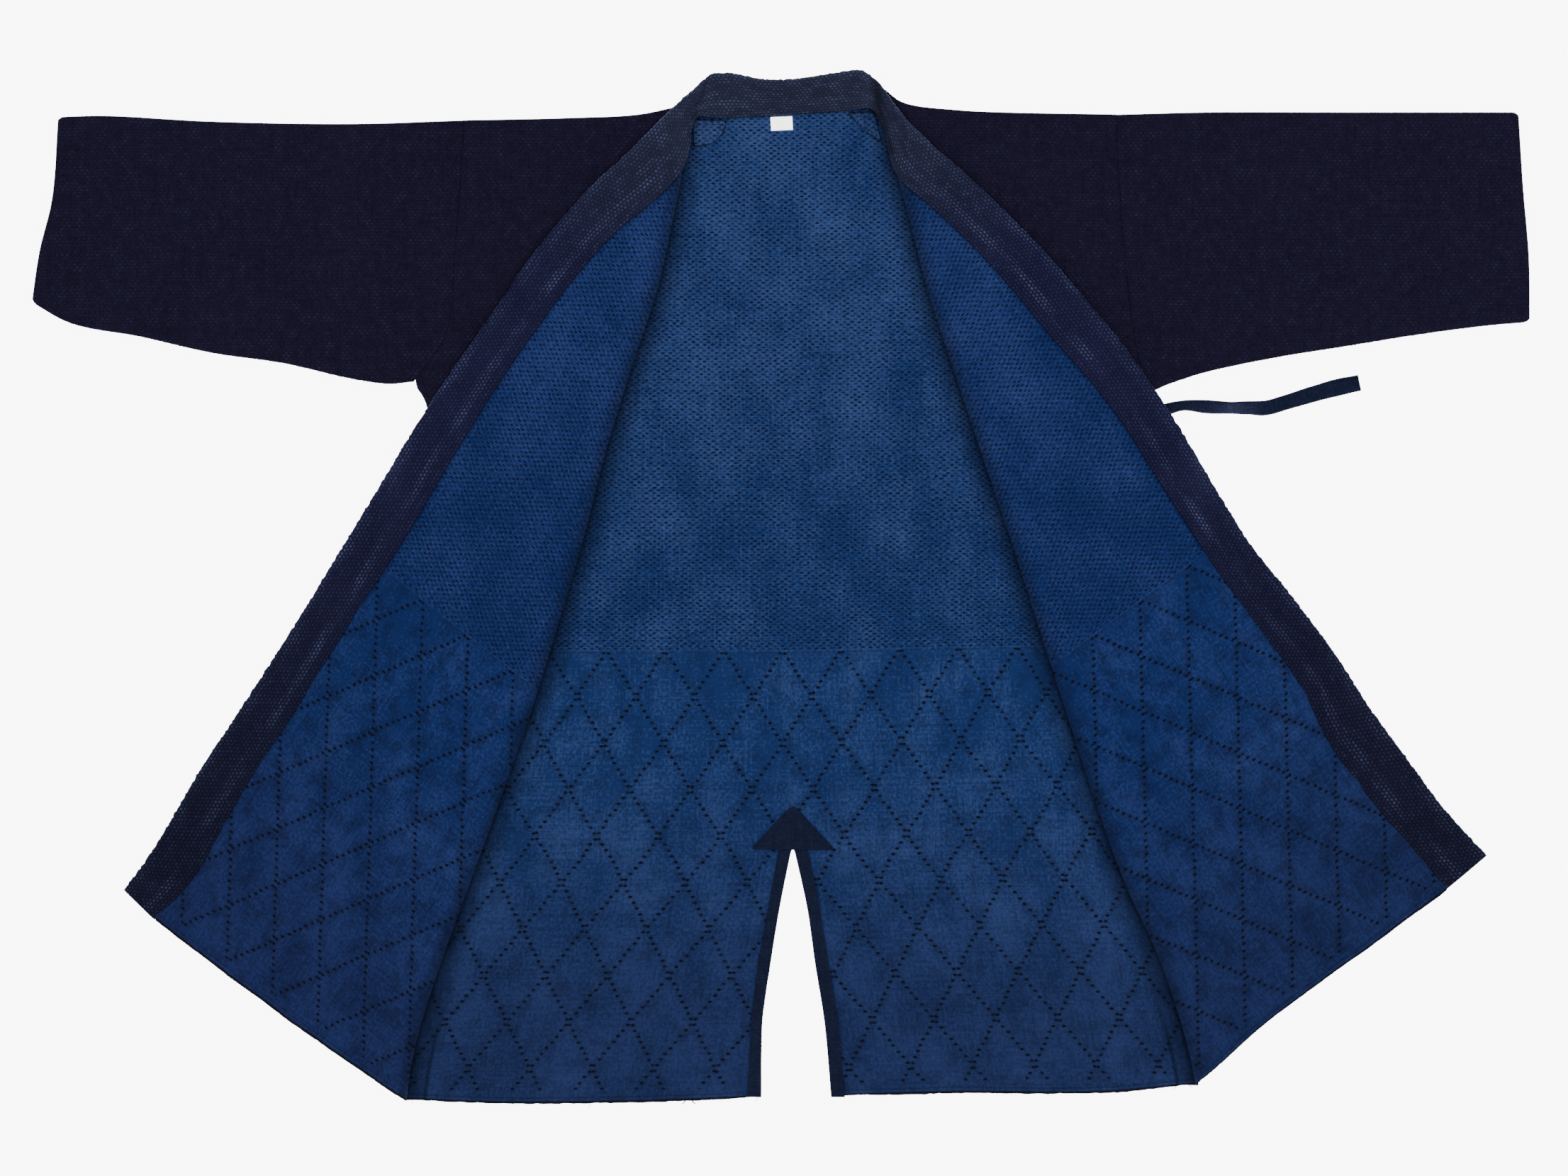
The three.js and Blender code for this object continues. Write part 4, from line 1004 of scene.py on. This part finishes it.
def roll_line(crown, steps):
    low, high = LAYER + CLOTH / 2, 2 * LAYER + CLOTH / 2
    slope = (crown + high + CLOTH / 2) / 2 - CLOTH / 2
    points = [
        (8.2, low), (4.4, low), (2.1, low + 0.35), (1.25, low + 1.4), (2.3, low + 2.5),
        (6.3, crown - 1.9), (12, crown - 1.2), (21, slope), (ROLL_WIDTH, high),
    ]
    return measured(points, steps)


# %% Turned part of a front
GRAIN = {  # a crossing at the top of the quilting, and a step down each line of the lattice
    "left": ((-272.7, -40), (-1.5, -48.8), (-41, -18)),
    "right": ((272, -40), (1.2, -48.6), (42.3, -18.3)),
}
TURNED_CREASES = {
    "left": [
        (-210, 150, -280, 60, 0.7, 12), (-170, 240, -205, 180, 0.6, 10), (-240, 60, -330, -20, 0.6, 13),
        (-250, -60, -380, -90, 0.7, 10), (-300, -150, -400, -130, 0.8, 9), (-330, -200, -440, -215, 0.8, 9),
        (-340, -260, -470, -262, 0.8, 10), (-380, -330, -480, -300, 0.9, 10),
        (-360, -390, -420, -330, 0.8, 9), (-300, -210, -330, -330, 0.7, 9),
        (-420, -180, -450, -250, 0.6, 8), (-290, -20, -340, 20, -0.5, 9),
        (-390, -235, -372, -310, -0.6, 8), (-480, -260, -520, -285, 0.7, 7),
    ],
    "right": [
        (190, 210, 250, 140, 0.7, 11), (225, 110, 300, 30, 0.6, 13), (150, 290, 180, 235, 0.5, 9),
        (270, 0, 350, -60, 0.6, 11), (300, -120, 420, -110, 0.8, 9), (330, -180, 460, -200, 0.8, 9),
        (360, -250, 500, -240, 0.9, 10), (380, -310, 500, -300, 0.8, 9), (400, -380, 450, -330, 0.8, 9),
        (330, -200, 365, -330, 0.7, 9), (450, -150, 490, -230, 0.7, 8), (310, -60, 380, -80, -0.5, 9),
        (430, -270, 420, -330, -0.6, 8), (520, -240, 560, -262, 0.7, 7),
    ],
}


def to_cloth(side, x, y):
    start, steep, slanted = GRAIN[side]
    px, py = x - start[0], y - start[1]
    area = steep[0] * slanted[1] - steep[1] * slanted[0]
    i = (px * slanted[1] - py * slanted[0]) / area
    j = (steep[0] * py - steep[1] * px) / area
    sign = INWARD[side]
    return sign * (i - j) * QUILT_WIDTH / 2, -(i + j) * QUILT_HEIGHT / 2


def collar_seam(side):
    places = np.linspace(0, 13.2, 400) if side == "left" else np.linspace(42, 25.8, 400)
    line = spline(COLLAR[:, :2], places)
    return beside(line, INWARD[side] * SEWN_IN)


def front_turned(side):
    sign = INWARD[side]
    # the hem with a small shake, and the two ends of each row of the mesh
    hem = measured(FRONT_HEM[side], evenly(200))
    chance = np.random.default_rng(51 if side == "left" else 52)
    shake = 0.7 * rumple(hem[:, 0], hem[:, 0] * 0, 50, 53) + chance.normal(0, 0.15, len(hem))
    hem[1:-1, 1] += shake[1:-1]
    down = np.concatenate([evenly(196)[:-3], [0.9885, 0.991, 0.9932, 0.9952, 0.9975, 1]])
    fold = measured(FOLD[side], evenly(400))
    fold = fold[fold[:, 1] > hem[0, 1]]
    fold = spread(fold, down, distances(fold[:, :2]))
    seam = spread(collar_seam(side)[::-1], down)
    seam[-1] = hem[-1]
    # how squarely a row leaves the fold, and how wide its roll may be
    start = fold[:, :2]
    row_run = seam - start
    width = np.linalg.norm(row_run, axis=1)
    tangent = headings(start)
    square = np.abs(tangent[:, 0] * row_run[:, 1] - tangent[:, 1] * row_run[:, 0]) / width
    roll = np.minimum(ROLL_WIDTH, 0.8 * width * square)
    flat_shares = evenly(FLAT_POINTS + 1)[1:]
    # each row is the roll's section first, and then flat cloth up to the collar
    plan, height, normal = [], [], []
    for i, t in enumerate(down):
        section = roll_line(fold[i, 2], evenly(ROLL_POINTS))
        slope = headings(section)
        scale = roll[i] / ROLL_WIDTH
        reach = roll[i] / square[i] / width[i]
        on_roll = section[:, 0] * scale / square[i] / width[i]
        share = np.concatenate([on_roll, reach + (1 - reach) * flat_shares])
        bulge = np.stack([np.interp(share, evenly(200), axis) for axis in hem.T], 1)
        straight = hem[0] + (hem[-1] - hem[0]) * share[:, None]
        row = start[i] + row_run[i] * share[:, None] + (bulge - straight) * t**6
        plan.append(row)
        height.append(np.concatenate([section[:, 1], np.full(FLAT_POINTS, 2 * LAYER + CLOTH / 2)]))
        lean = np.concatenate([slope, np.tile([1.0, 0.0], (FLAT_POINTS, 1))])
        along_row = row_run[i] / width[i]
        normal.append(np.column_stack([-lean[:, 1:] * along_row, lean[:, 0]]))
    plan, height, normal = np.array(plan), np.array(height), np.array(normal)
    # the relief is on the upper side alone, and the heights follow what lies below
    x, y = plan[..., 0], plan[..., 1]
    u, v = to_cloth(side, x, y)
    on_top = smooth((height - LAYER - CLOTH) / 2.4)
    rising = smooth(evenly(ROLL_POINTS - HIDDEN_POINTS))
    from_fold = np.concatenate([np.zeros(HIDDEN_POINTS), rising, np.ones(FLAT_POINTS)])
    body = 2 * LAYER + bed(y)
    below = support(x, y)
    loose = smooth(-v / 60)
    relief = pillow(u, v) * (v < 0) + creases(x, y, TURNED_CREASES[side])
    relief += rumple(x, y, 26, 12) * (0.15 + 0.35 * loose) + rumple(u, v, 14, 13) * 0.42 * loose
    from_hem = distance_outside(np.vstack([hem, hem[::-1] + 0.01]), x, y)  # there and back
    turned_up = turned_hem(from_hem) * from_fold
    relief = relief * from_fold * smooth(from_hem / 12 + 0.35) + turned_up
    side_seam = measured(SIDE[side], evenly(120))[::-1]
    off_the_back = sign * (np.interp(y, side_seam[:, 1], side_seam[:, 0]) - x)
    sag = (1 - on_top) * smooth(off_the_back / 6) * (LAYER + bed(y))  # down to the floor
    z = height + bed(y) - on_top * (body - below) - sag
    lift = np.maximum(relief, -0.1)
    middle_points = np.stack([x, y, z], -1)
    top = middle_points + normal * CLOTH / 2
    bottom = middle_points - normal * CLOTH / 2
    top[..., 2] += lift
    bottom[..., 2] += 0.5 * lift * (below < 0.05)
    bottom[..., 2] = np.maximum(bottom[..., 2], 0)
    ids, quads = grid_quads(*x.shape)
    cloth = np.stack([u, v], -1).reshape(-1, 2)
    # the Edge map's second channel, by which the finish paints shade near the roll's crest and beside the
    # collar seam
    crest = np.linalg.norm(plan - start[:, None], axis=-1) * square[:, None]
    from_seam = np.linalg.norm(plan - seam[:, None], axis=-1) * square[:, None]
    edge = np.stack([from_hem, np.minimum(4 + 1.3 * crest, 12 + 2 * from_seam)], -1).reshape(-1, 2)
    finishes = [inside_left if side == "left" else inside_right, outside, cut_edge]
    return walled(
        f"front_{side}_turned", top.reshape(-1, 3), bottom.reshape(-1, 3), quads, rim_of(ids), cloth,
        finishes, edge,
    )


# %% Make the fronts
for side in ("left", "right"):
    under = front_under(side)
    turned = front_turned(side)
    wear(under, f"front_{side}")
    wear(turned, f"front_{side}")

# %% [markdown]
# ## The sleeves
# A sleeve is a flattened tube, open at both ends, with the shoulder fold on top and the seam below.
# Its section is swept from the armhole to the cuff. The upper side puffs a little, and soft ridges
# run across it where the arm creased it. Its two folded edges are bumpy, because each stitch
# stands out there, so the outline gets a small seeded shake.

# %% Shape of a sleeve
SLEEVE_RIDGES = {  # share of the length at the top fold and at the seam, rise, width as a share
    "left": [
        (0.22, 0.12, 1.5, 0.07), (0.5, 0.62, 1.1, 0.09), (0.84, 0.78, 1.3, 0.06), (0.33, 0.45, 0.5, 0.035),
        (0.66, 0.52, 0.6, 0.04), (0.93, 0.99, 0.5, 0.03), (0.08, 0.3, 0.5, 0.03),
    ],
    "right": [
        (0.2, 0.3, 1.2, 0.08), (0.47, 0.4, 1.5, 0.07), (0.74, 0.83, 1.0, 0.09), (0.32, 0.18, 0.5, 0.035),
        (0.6, 0.68, 0.6, 0.04), (0.88, 0.72, 0.5, 0.035), (0.97, 0.94, 0.4, 0.03),
    ],
}
SLEEVE_PUFF = 1.4
STATIONS = 176  # along the sleeve
LINES = 40  # across each of its two faces


def sleeve_place(side, t, q):
    rows = SLEEVE[side]
    top, bottom = measured(rows["top"], t), measured(rows["bottom"], t)
    seam, cuff = measured(rows["armhole"], q), measured(rows["cuff"], q)
    return patch(top, bottom, seam, cuff, t, q)


def sleeve(side):
    t = evenly(STATIONS)
    q = 0.5 - 0.5 * np.cos(math.pi * (np.arange(LINES) + 0.5) / LINES)
    edged = np.concatenate([[0], q, [1]])
    base = sleeve_place(side, t, edged)
    span = np.linalg.norm(base[-1] - base[0], axis=1)
    chance = np.random.default_rng(21 if side == "left" else 22)
    rings = []
    cuff_round = 2.6 * np.clip(1 - (1 - t) * length_of(SLEEVE[side]["top"]) / 5, 0, 1) ** 2
    for wall in (0, CLOTH):
        inset = (wall + cuff_round)[None] / span[None]
        squeezed = inset + (1 - 2 * inset) * edged[:, None]
        plan = np.stack([
            np.stack([np.interp(squeezed[:, i], edged, base[:, i, axis]) for axis in (0, 1)], 1)
            for i in range(STATIONS)
        ], 1)
        bulge = np.sqrt(4 * edged * (1 - edged))[:, None]
        away = smooth(t / 0.25)[None]
        height = 2 * CLOTH + GAP + SLEEVE_PUFF * bulge * away
        for high, low, rise, width in SLEEVE_RIDGES[side]:
            middle = high + (low - high) * edged[:, None]
            height = height + rise * bulge * away * np.exp(-(((t[None] - middle) / width) ** 2))
        height = height + 0.12 * bulge * rumple(plan[..., 0], plan[..., 1], 28, 31)
        upper = np.dstack([plan, height - wall])[1:-1]
        lower = np.dstack([plan, np.full(height.shape, float(wall))])[1:-1][::-1]
        first = np.dstack([plan[:1], height[:1] / 2])
        last = np.dstack([plan[-1:], height[-1:] / 2])
        rings.append(np.concatenate([first, upper, last, lower]))
    shake = chance.normal(0, 0.17, STATIONS)
    shake2 = chance.normal(0, 0.17, STATIONS)
    rings[0][0, :, 1] += shake
    rings[0][LINES + 1, :, 1] += shake2
    outer, inner = rings
    count = len(outer)
    ids = np.arange(count * STATIONS).reshape(count, STATIONS)
    around = np.roll(ids, -1, axis=0)
    sides = np.stack([ids[:, :-1], ids[:, 1:], around[:, 1:], around[:, :-1]], -1).reshape(-1, 4)
    walls = np.vstack([
        np.stack([ids[:, k], around[:, k], around[:, k] + ids.size, ids[:, k] + ids.size], 1)
        for k in (0, -1)
    ])
    around_edge = np.abs(outer[..., 2] - CLOTH) * (1 - 2 * np.concatenate([edged, q[::-1]]))[:, None]
    flat = np.dstack([outer[..., 0], outer[..., 1] - around_edge]).reshape(-1, 2)
    return shell(
        f"sleeve_{side}_cloth", outer.reshape(-1, 3), inner.reshape(-1, 3), sides, walls, flat,
        [outside, inside_back, cut_edge],
    )


for side in ("left", "right"):
    wear(sleeve(side), f"sleeve_{side}")

# %% [markdown]
# ## The collar band
# One long padded band runs from the left hem round the neck to the right hem. It is made as a
# shell again, with lines every 2 mm along it and closer lines at its two rounded edges. The folds
# where it turns at the shoulders are creases, and the edges get the same bumpy shake.

# %% Mesh of the collar
COLLAR_CREASES = [
    (-88, 418, -72, 398, -1.0, 3.6), (-108, 396, -86, 380, -0.6, 4.0), (-62, 450, -78, 408, -1.0, 3.2),
    (81, 446, 88, 408, -1.2, 3.0), (84, 436, 93, 404, -0.6, 3.0), (94, 426, 134, 384, -0.8, 3.0),
    (98, 396, 118, 372, -0.7, 4.0), (-190, 300, -176, 276, -0.5, 5), (260, 236, 246, 214, -0.5, 5),
]
NECK_FOLDS = [(-63, 448, -77, 410, 2.6), (82, 443, 87.5, 410, 0), (87.5, 410, 97, 381, 1.0)]
outer_points = COLLAR[:, 2:4]
places = [0.0]
for i, (p, q) in enumerate(zip(outer_points, outer_points[1:])):
    steps = max(1, round(float(np.linalg.norm(q - p)) / 2))
    places += [i + (k + 1) / steps for k in range(steps)]
places = np.array(places)
inner = spline(COLLAR[:, :2], places)
outer = spline(outer_points, places)
chance = np.random.default_rng(5)
inner += chance.normal(0, 0.12, inner.shape)
outer += chance.normal(0, 0.3, outer.shape)
lift = np.interp(places, np.arange(len(COLLAR)), COLLAR[:, 4])[:, None]
COLLAR_WIDTH = 38
lines = [[0, 0.4, 1.1, 2.2], np.arange(4, 34.1, 1.9), [35.8, 36.9, 37.6, COLLAR_WIDTH]]
across = np.concatenate(lines) / COLLAR_WIDTH
plan = inner[:, None] + (outer - inner)[:, None] * across[None, :, None]
x, y = plan[..., 0], plan[..., 1]
under = lift * support(x, y)
from_edge = np.minimum(across, 1 - across) * COLLAR_WIDTH
rounding = np.sqrt(1 - (1 - np.clip((from_edge + 0.25) / 2.6, 0, 1)) ** 2)[None]
swell = COLLAR_CROWN * np.sin(math.pi * across)[None]
relief = creases(x, y, COLLAR_CREASES) + 0.15 * rumple(x, y, 22, 6)
half = COLLAR_THICK / 2
top_z = under + half + (half + swell) * rounding + relief * rounding
top = np.stack([x, y, top_z], -1).reshape(-1, 3)
left_corner, right_corner = (smooth(1.8 - np.abs(places - row)) for row in (16.2, 23.6))
at_corner = np.maximum(left_corner, right_corner)[:, None]  # where it bends, it fills its space
low_z = under - at_corner * np.maximum(under - 0.9, 0) + half - half * rounding
bottom = np.stack([x, y, low_z], -1).reshape(-1, 3)
run = distances((inner + outer) / 2)
run -= np.interp(19.3, places, run)
band_map = np.stack(np.broadcast_arrays(run[:, None], across[None] * COLLAR_WIDTH), -1).reshape(-1, 2)
# distance from the neck folds, by which the collar's finish paints shade
from_crease = np.min([
    distance_outside(np.array([fold[:2], fold[2:4]], float), x, y) + fold[4] for fold in NECK_FOLDS
], axis=0)
crease_map = np.column_stack([from_crease.ravel(), np.zeros(x.size)])
ids, quads = grid_quads(*x.shape)
collar = walled("collar_band", top, bottom, quads, rim_of(ids), band_map, [collar_cloth], crease_map)
wear(collar, "collar")

# %% [markdown]
# ## Vent, patches and label
# The vent is bound with narrow strips of navy cotton, and a small triangle covers its top. They
# are sewn flat on the back, so each takes the back's own height and adds its thickness. The same
# goes for the two small patches and the label at the neck, which is left plain.


# %% Pieces sewn on the back
def sewn_on(name, left, right, thick, finish, spacing=2.5, origin=(0, 0)):
    left, right = np.array(left, float), np.array(right, float)
    rows = max(3, round(length_of(left) / spacing))
    t = evenly(rows)
    width = max(float(np.linalg.norm(left - right, axis=1).max()), 1)
    s = evenly(max(5, round(width / spacing)))
    from_left, from_right = spread(left, t), spread(right, t)
    plan = from_left[:, None] + (from_right - from_left)[:, None] * s[None, :, None]
    x, y = plan[..., 0].ravel(), plan[..., 1].ravel()
    under = back_height(x, y)
    from_side = np.minimum(s, 1 - s)[None] * width
    from_end = np.minimum(t, 1 - t)[:, None] * length_of(left)
    from_edge = np.minimum(from_side, from_end).ravel()
    soft = 0.72 + 0.28 * smooth(from_edge / 1.6)
    top = np.column_stack([x, y, under + GAP + thick * soft])
    bottom = np.column_stack([x, y, under + GAP * 0.5])
    ids, quads = grid_quads(rows, len(s))
    cloth = np.column_stack([x, y]) - np.array(origin, float)
    edge = np.column_stack([from_edge + 1.5, np.full(len(x), FAR)])
    return walled(name, top, bottom, quads, rim_of(ids), cloth, [finish], edge)


for side in ("left", "right"):
    edge = np.array(VENT[side], float) - (INWARD[side] * SEAM_GAP, 0)
    binding = sewn_on(f"vent_binding_{side}_cloth", edge[::-1], VENT_BOUND[side][::-1], BINDING, trim)
    wear(binding, f"vent_binding_{side}")
patch_left = [(9.5, -190.8), (6, -193), (-24, -225.5), (-24, -227.9)]
patch_right = [(11.5, -190.8), (15, -193), (46, -226.5), (45.5, -228.4)]
vent_patch = sewn_on("vent_triangle", patch_left, patch_right, BINDING, trim)
wear(vent_patch, "vent_patch")
neck_left = sewn_on(
    "neck_left_cloth", [(-77, 410), (-76.6, 398), (-76, 386)], [(-47, 409), (-51, 397), (-60, 389)],
    PATCH, faded,
)
neck_right = sewn_on(
    "neck_right_cloth", [(59, 416), (65, 409), (71, 402)], [(82, 417), (85, 403), (88, 390)],
    PATCH, faded,
)
wear(neck_left, "neck_patch_left")
wear(neck_right, "neck_patch_right")
label = sewn_on(
    "label_cloth", [(-9, 412), (-8.8, 406), (-8.5, 400.2)], [(10, 412.8), (10.2, 407), (10.5, 401)], LABEL,
    white_label, 1.0, (0, 400.2),
)
wear(label, "neck_label")

# %% [markdown]
# ## The tie
# A flat tie of folded cotton is sewn to the right side seam. It runs out on the floor, rolls partly
# onto its edge in a small twist, and lies flat again at its free end.

# %% Mesh of the tie
TIE = np.array([  # x, y, height of the middle, width, roll in degrees
    (325.5, 153, 0.8, 12, 0), (351, 160, 0.9, 9, 14), (372, 159, 2.4, 12, 20), (392, 158, 4.8, 13, 42),
    (409, 158, 3.6, 13, 30), (424, 158, 1.8, 13, 8), (442, 163, 0.9, 13, 0), (465, 170, 0.8, 14, 0),
    (487, 176, 0.8, 15, 0), (506, 180, 0.8, 14, 0),
], float)
TIE_THICK = 1.6
at = np.linspace(0, len(TIE) - 1, 110)
line = spline(TIE[:, :3], at)
eased = np.floor(at) + smooth(at - np.floor(at))
half = np.interp(eased, np.arange(len(TIE)), TIE[:, 3])[:, None] / 2
roll = np.radians(np.interp(eased, np.arange(len(TIE)), TIE[:, 4]))[:, None]
tangent = headings(line[:, :2])
side_way = np.stack([-tangent[:, 1], tangent[:, 0]], 1)
across = np.array([-1, -0.93, -0.8, -0.6, -0.3, 0, 0.3, 0.6, 0.8, 0.93, 1.0])[None]
thick = TIE_THICK / 2 * np.sqrt(1 - np.clip(np.abs(across), 0, 0.97) ** 6)
clear = np.maximum(0, half * np.sin(roll) + TIE_THICK / 2 * np.cos(roll) - line[:, 2:])
faces_of_tie = []
for face in (1, -1):
    sideways = across * half * np.cos(roll) - face * thick * np.sin(roll)
    z = line[:, 2:] + clear + across * half * np.sin(roll) + face * thick * np.cos(roll)
    place = line[:, None, :2] + side_way[:, None] * sideways[..., None]
    faces_of_tie.append(np.dstack([place, np.maximum(z, 0)]).reshape(-1, 3))
ids, quads = grid_quads(len(at), across.shape[1])
tie_map = np.stack(np.broadcast_arrays(at[:, None] * 20, across * 7), -1).reshape(-1, 2)
tie = walled("tie_cloth", faces_of_tie[0], faces_of_tie[1], quads, rim_of(ids), tie_map, [trim])
wear(tie, "tie_right")

# %% [markdown]
# ## Floor, light and camera
# The jacket lies on a plain pale floor in even studio light. Two wide soft lamps and a pale world
# keep shadows faint. The camera looks straight down from high up, with a long lens, so that the
# raised collar isn't drawn larger than the cloth beside it.

# %% Floor
floor_mesh = bpy.data.meshes.new("floor")
FLOOR_Z = -0.0006  # just under the cloth
corners = [(x, y, FLOOR_Z) for x, y in ((-4, -4), (4, -4), (4, 4), (-4, 4))]
floor_mesh.from_pydata(corners, [], [(0, 1, 2, 3)])
floor = bpy.data.objects.new("floor", floor_mesh)
bpy.context.scene.collection.objects.link(floor)
floor_paint = bpy.data.materials.new("pale floor")
floor_paint.use_nodes = True
floor_shader = floor_paint.node_tree.nodes["Principled BSDF"]
floor_shader.inputs["Base Color"].default_value = (0.93, 0.93, 0.93, 1)
floor_shader.inputs["Roughness"].default_value = 0.8
floor_shader.inputs["Emission Color"].default_value = (1, 1, 1, 1)
floor_shader.inputs["Emission Strength"].default_value = 8.0
floor_mesh.materials.append(floor_paint)


# %% Lights
def lamp(name, place, size, power):
    light = bpy.data.lights.new(name, "AREA")
    light.shape = "SQUARE"
    light.size = size
    light.energy = power
    made = bpy.data.objects.new(name, light)
    made.location = place
    aim = -np.array(place, float)
    made.rotation_euler = (math.atan2(math.hypot(aim[0], aim[1]), -aim[2]), 0, math.atan2(aim[0], -aim[1]))
    bpy.context.scene.collection.objects.link(made)


lamp("wide lamp", (-1.8, 1.8, 1.9), 1.5, 150)
lamp("low lamp", (1.8, -1.2, 2.2), 2.0, 28)
world = bpy.data.worlds.new("pale room")
world.use_nodes = True
world.node_tree.nodes["Background"].inputs[0].default_value = (1, 1, 1, 1)
world.node_tree.nodes["Background"].inputs[1].default_value = 0.9
bpy.context.scene.world = world

# %% Camera
VIEW_WIDTH = 1.3714  # the photograph's width on the floor
VIEW_MIDDLE = (0.0028, 0.0006)
camera_data = bpy.data.cameras.new("camera")
camera_data.lens = 85
camera = bpy.data.objects.new("camera", camera_data)
camera.location = (*VIEW_MIDDLE, VIEW_WIDTH * camera_data.lens / camera_data.sensor_width)
bpy.context.scene.collection.objects.link(camera)
bpy.context.scene.camera = camera
print("the camera is", round(camera.location.z, 2), "m up")
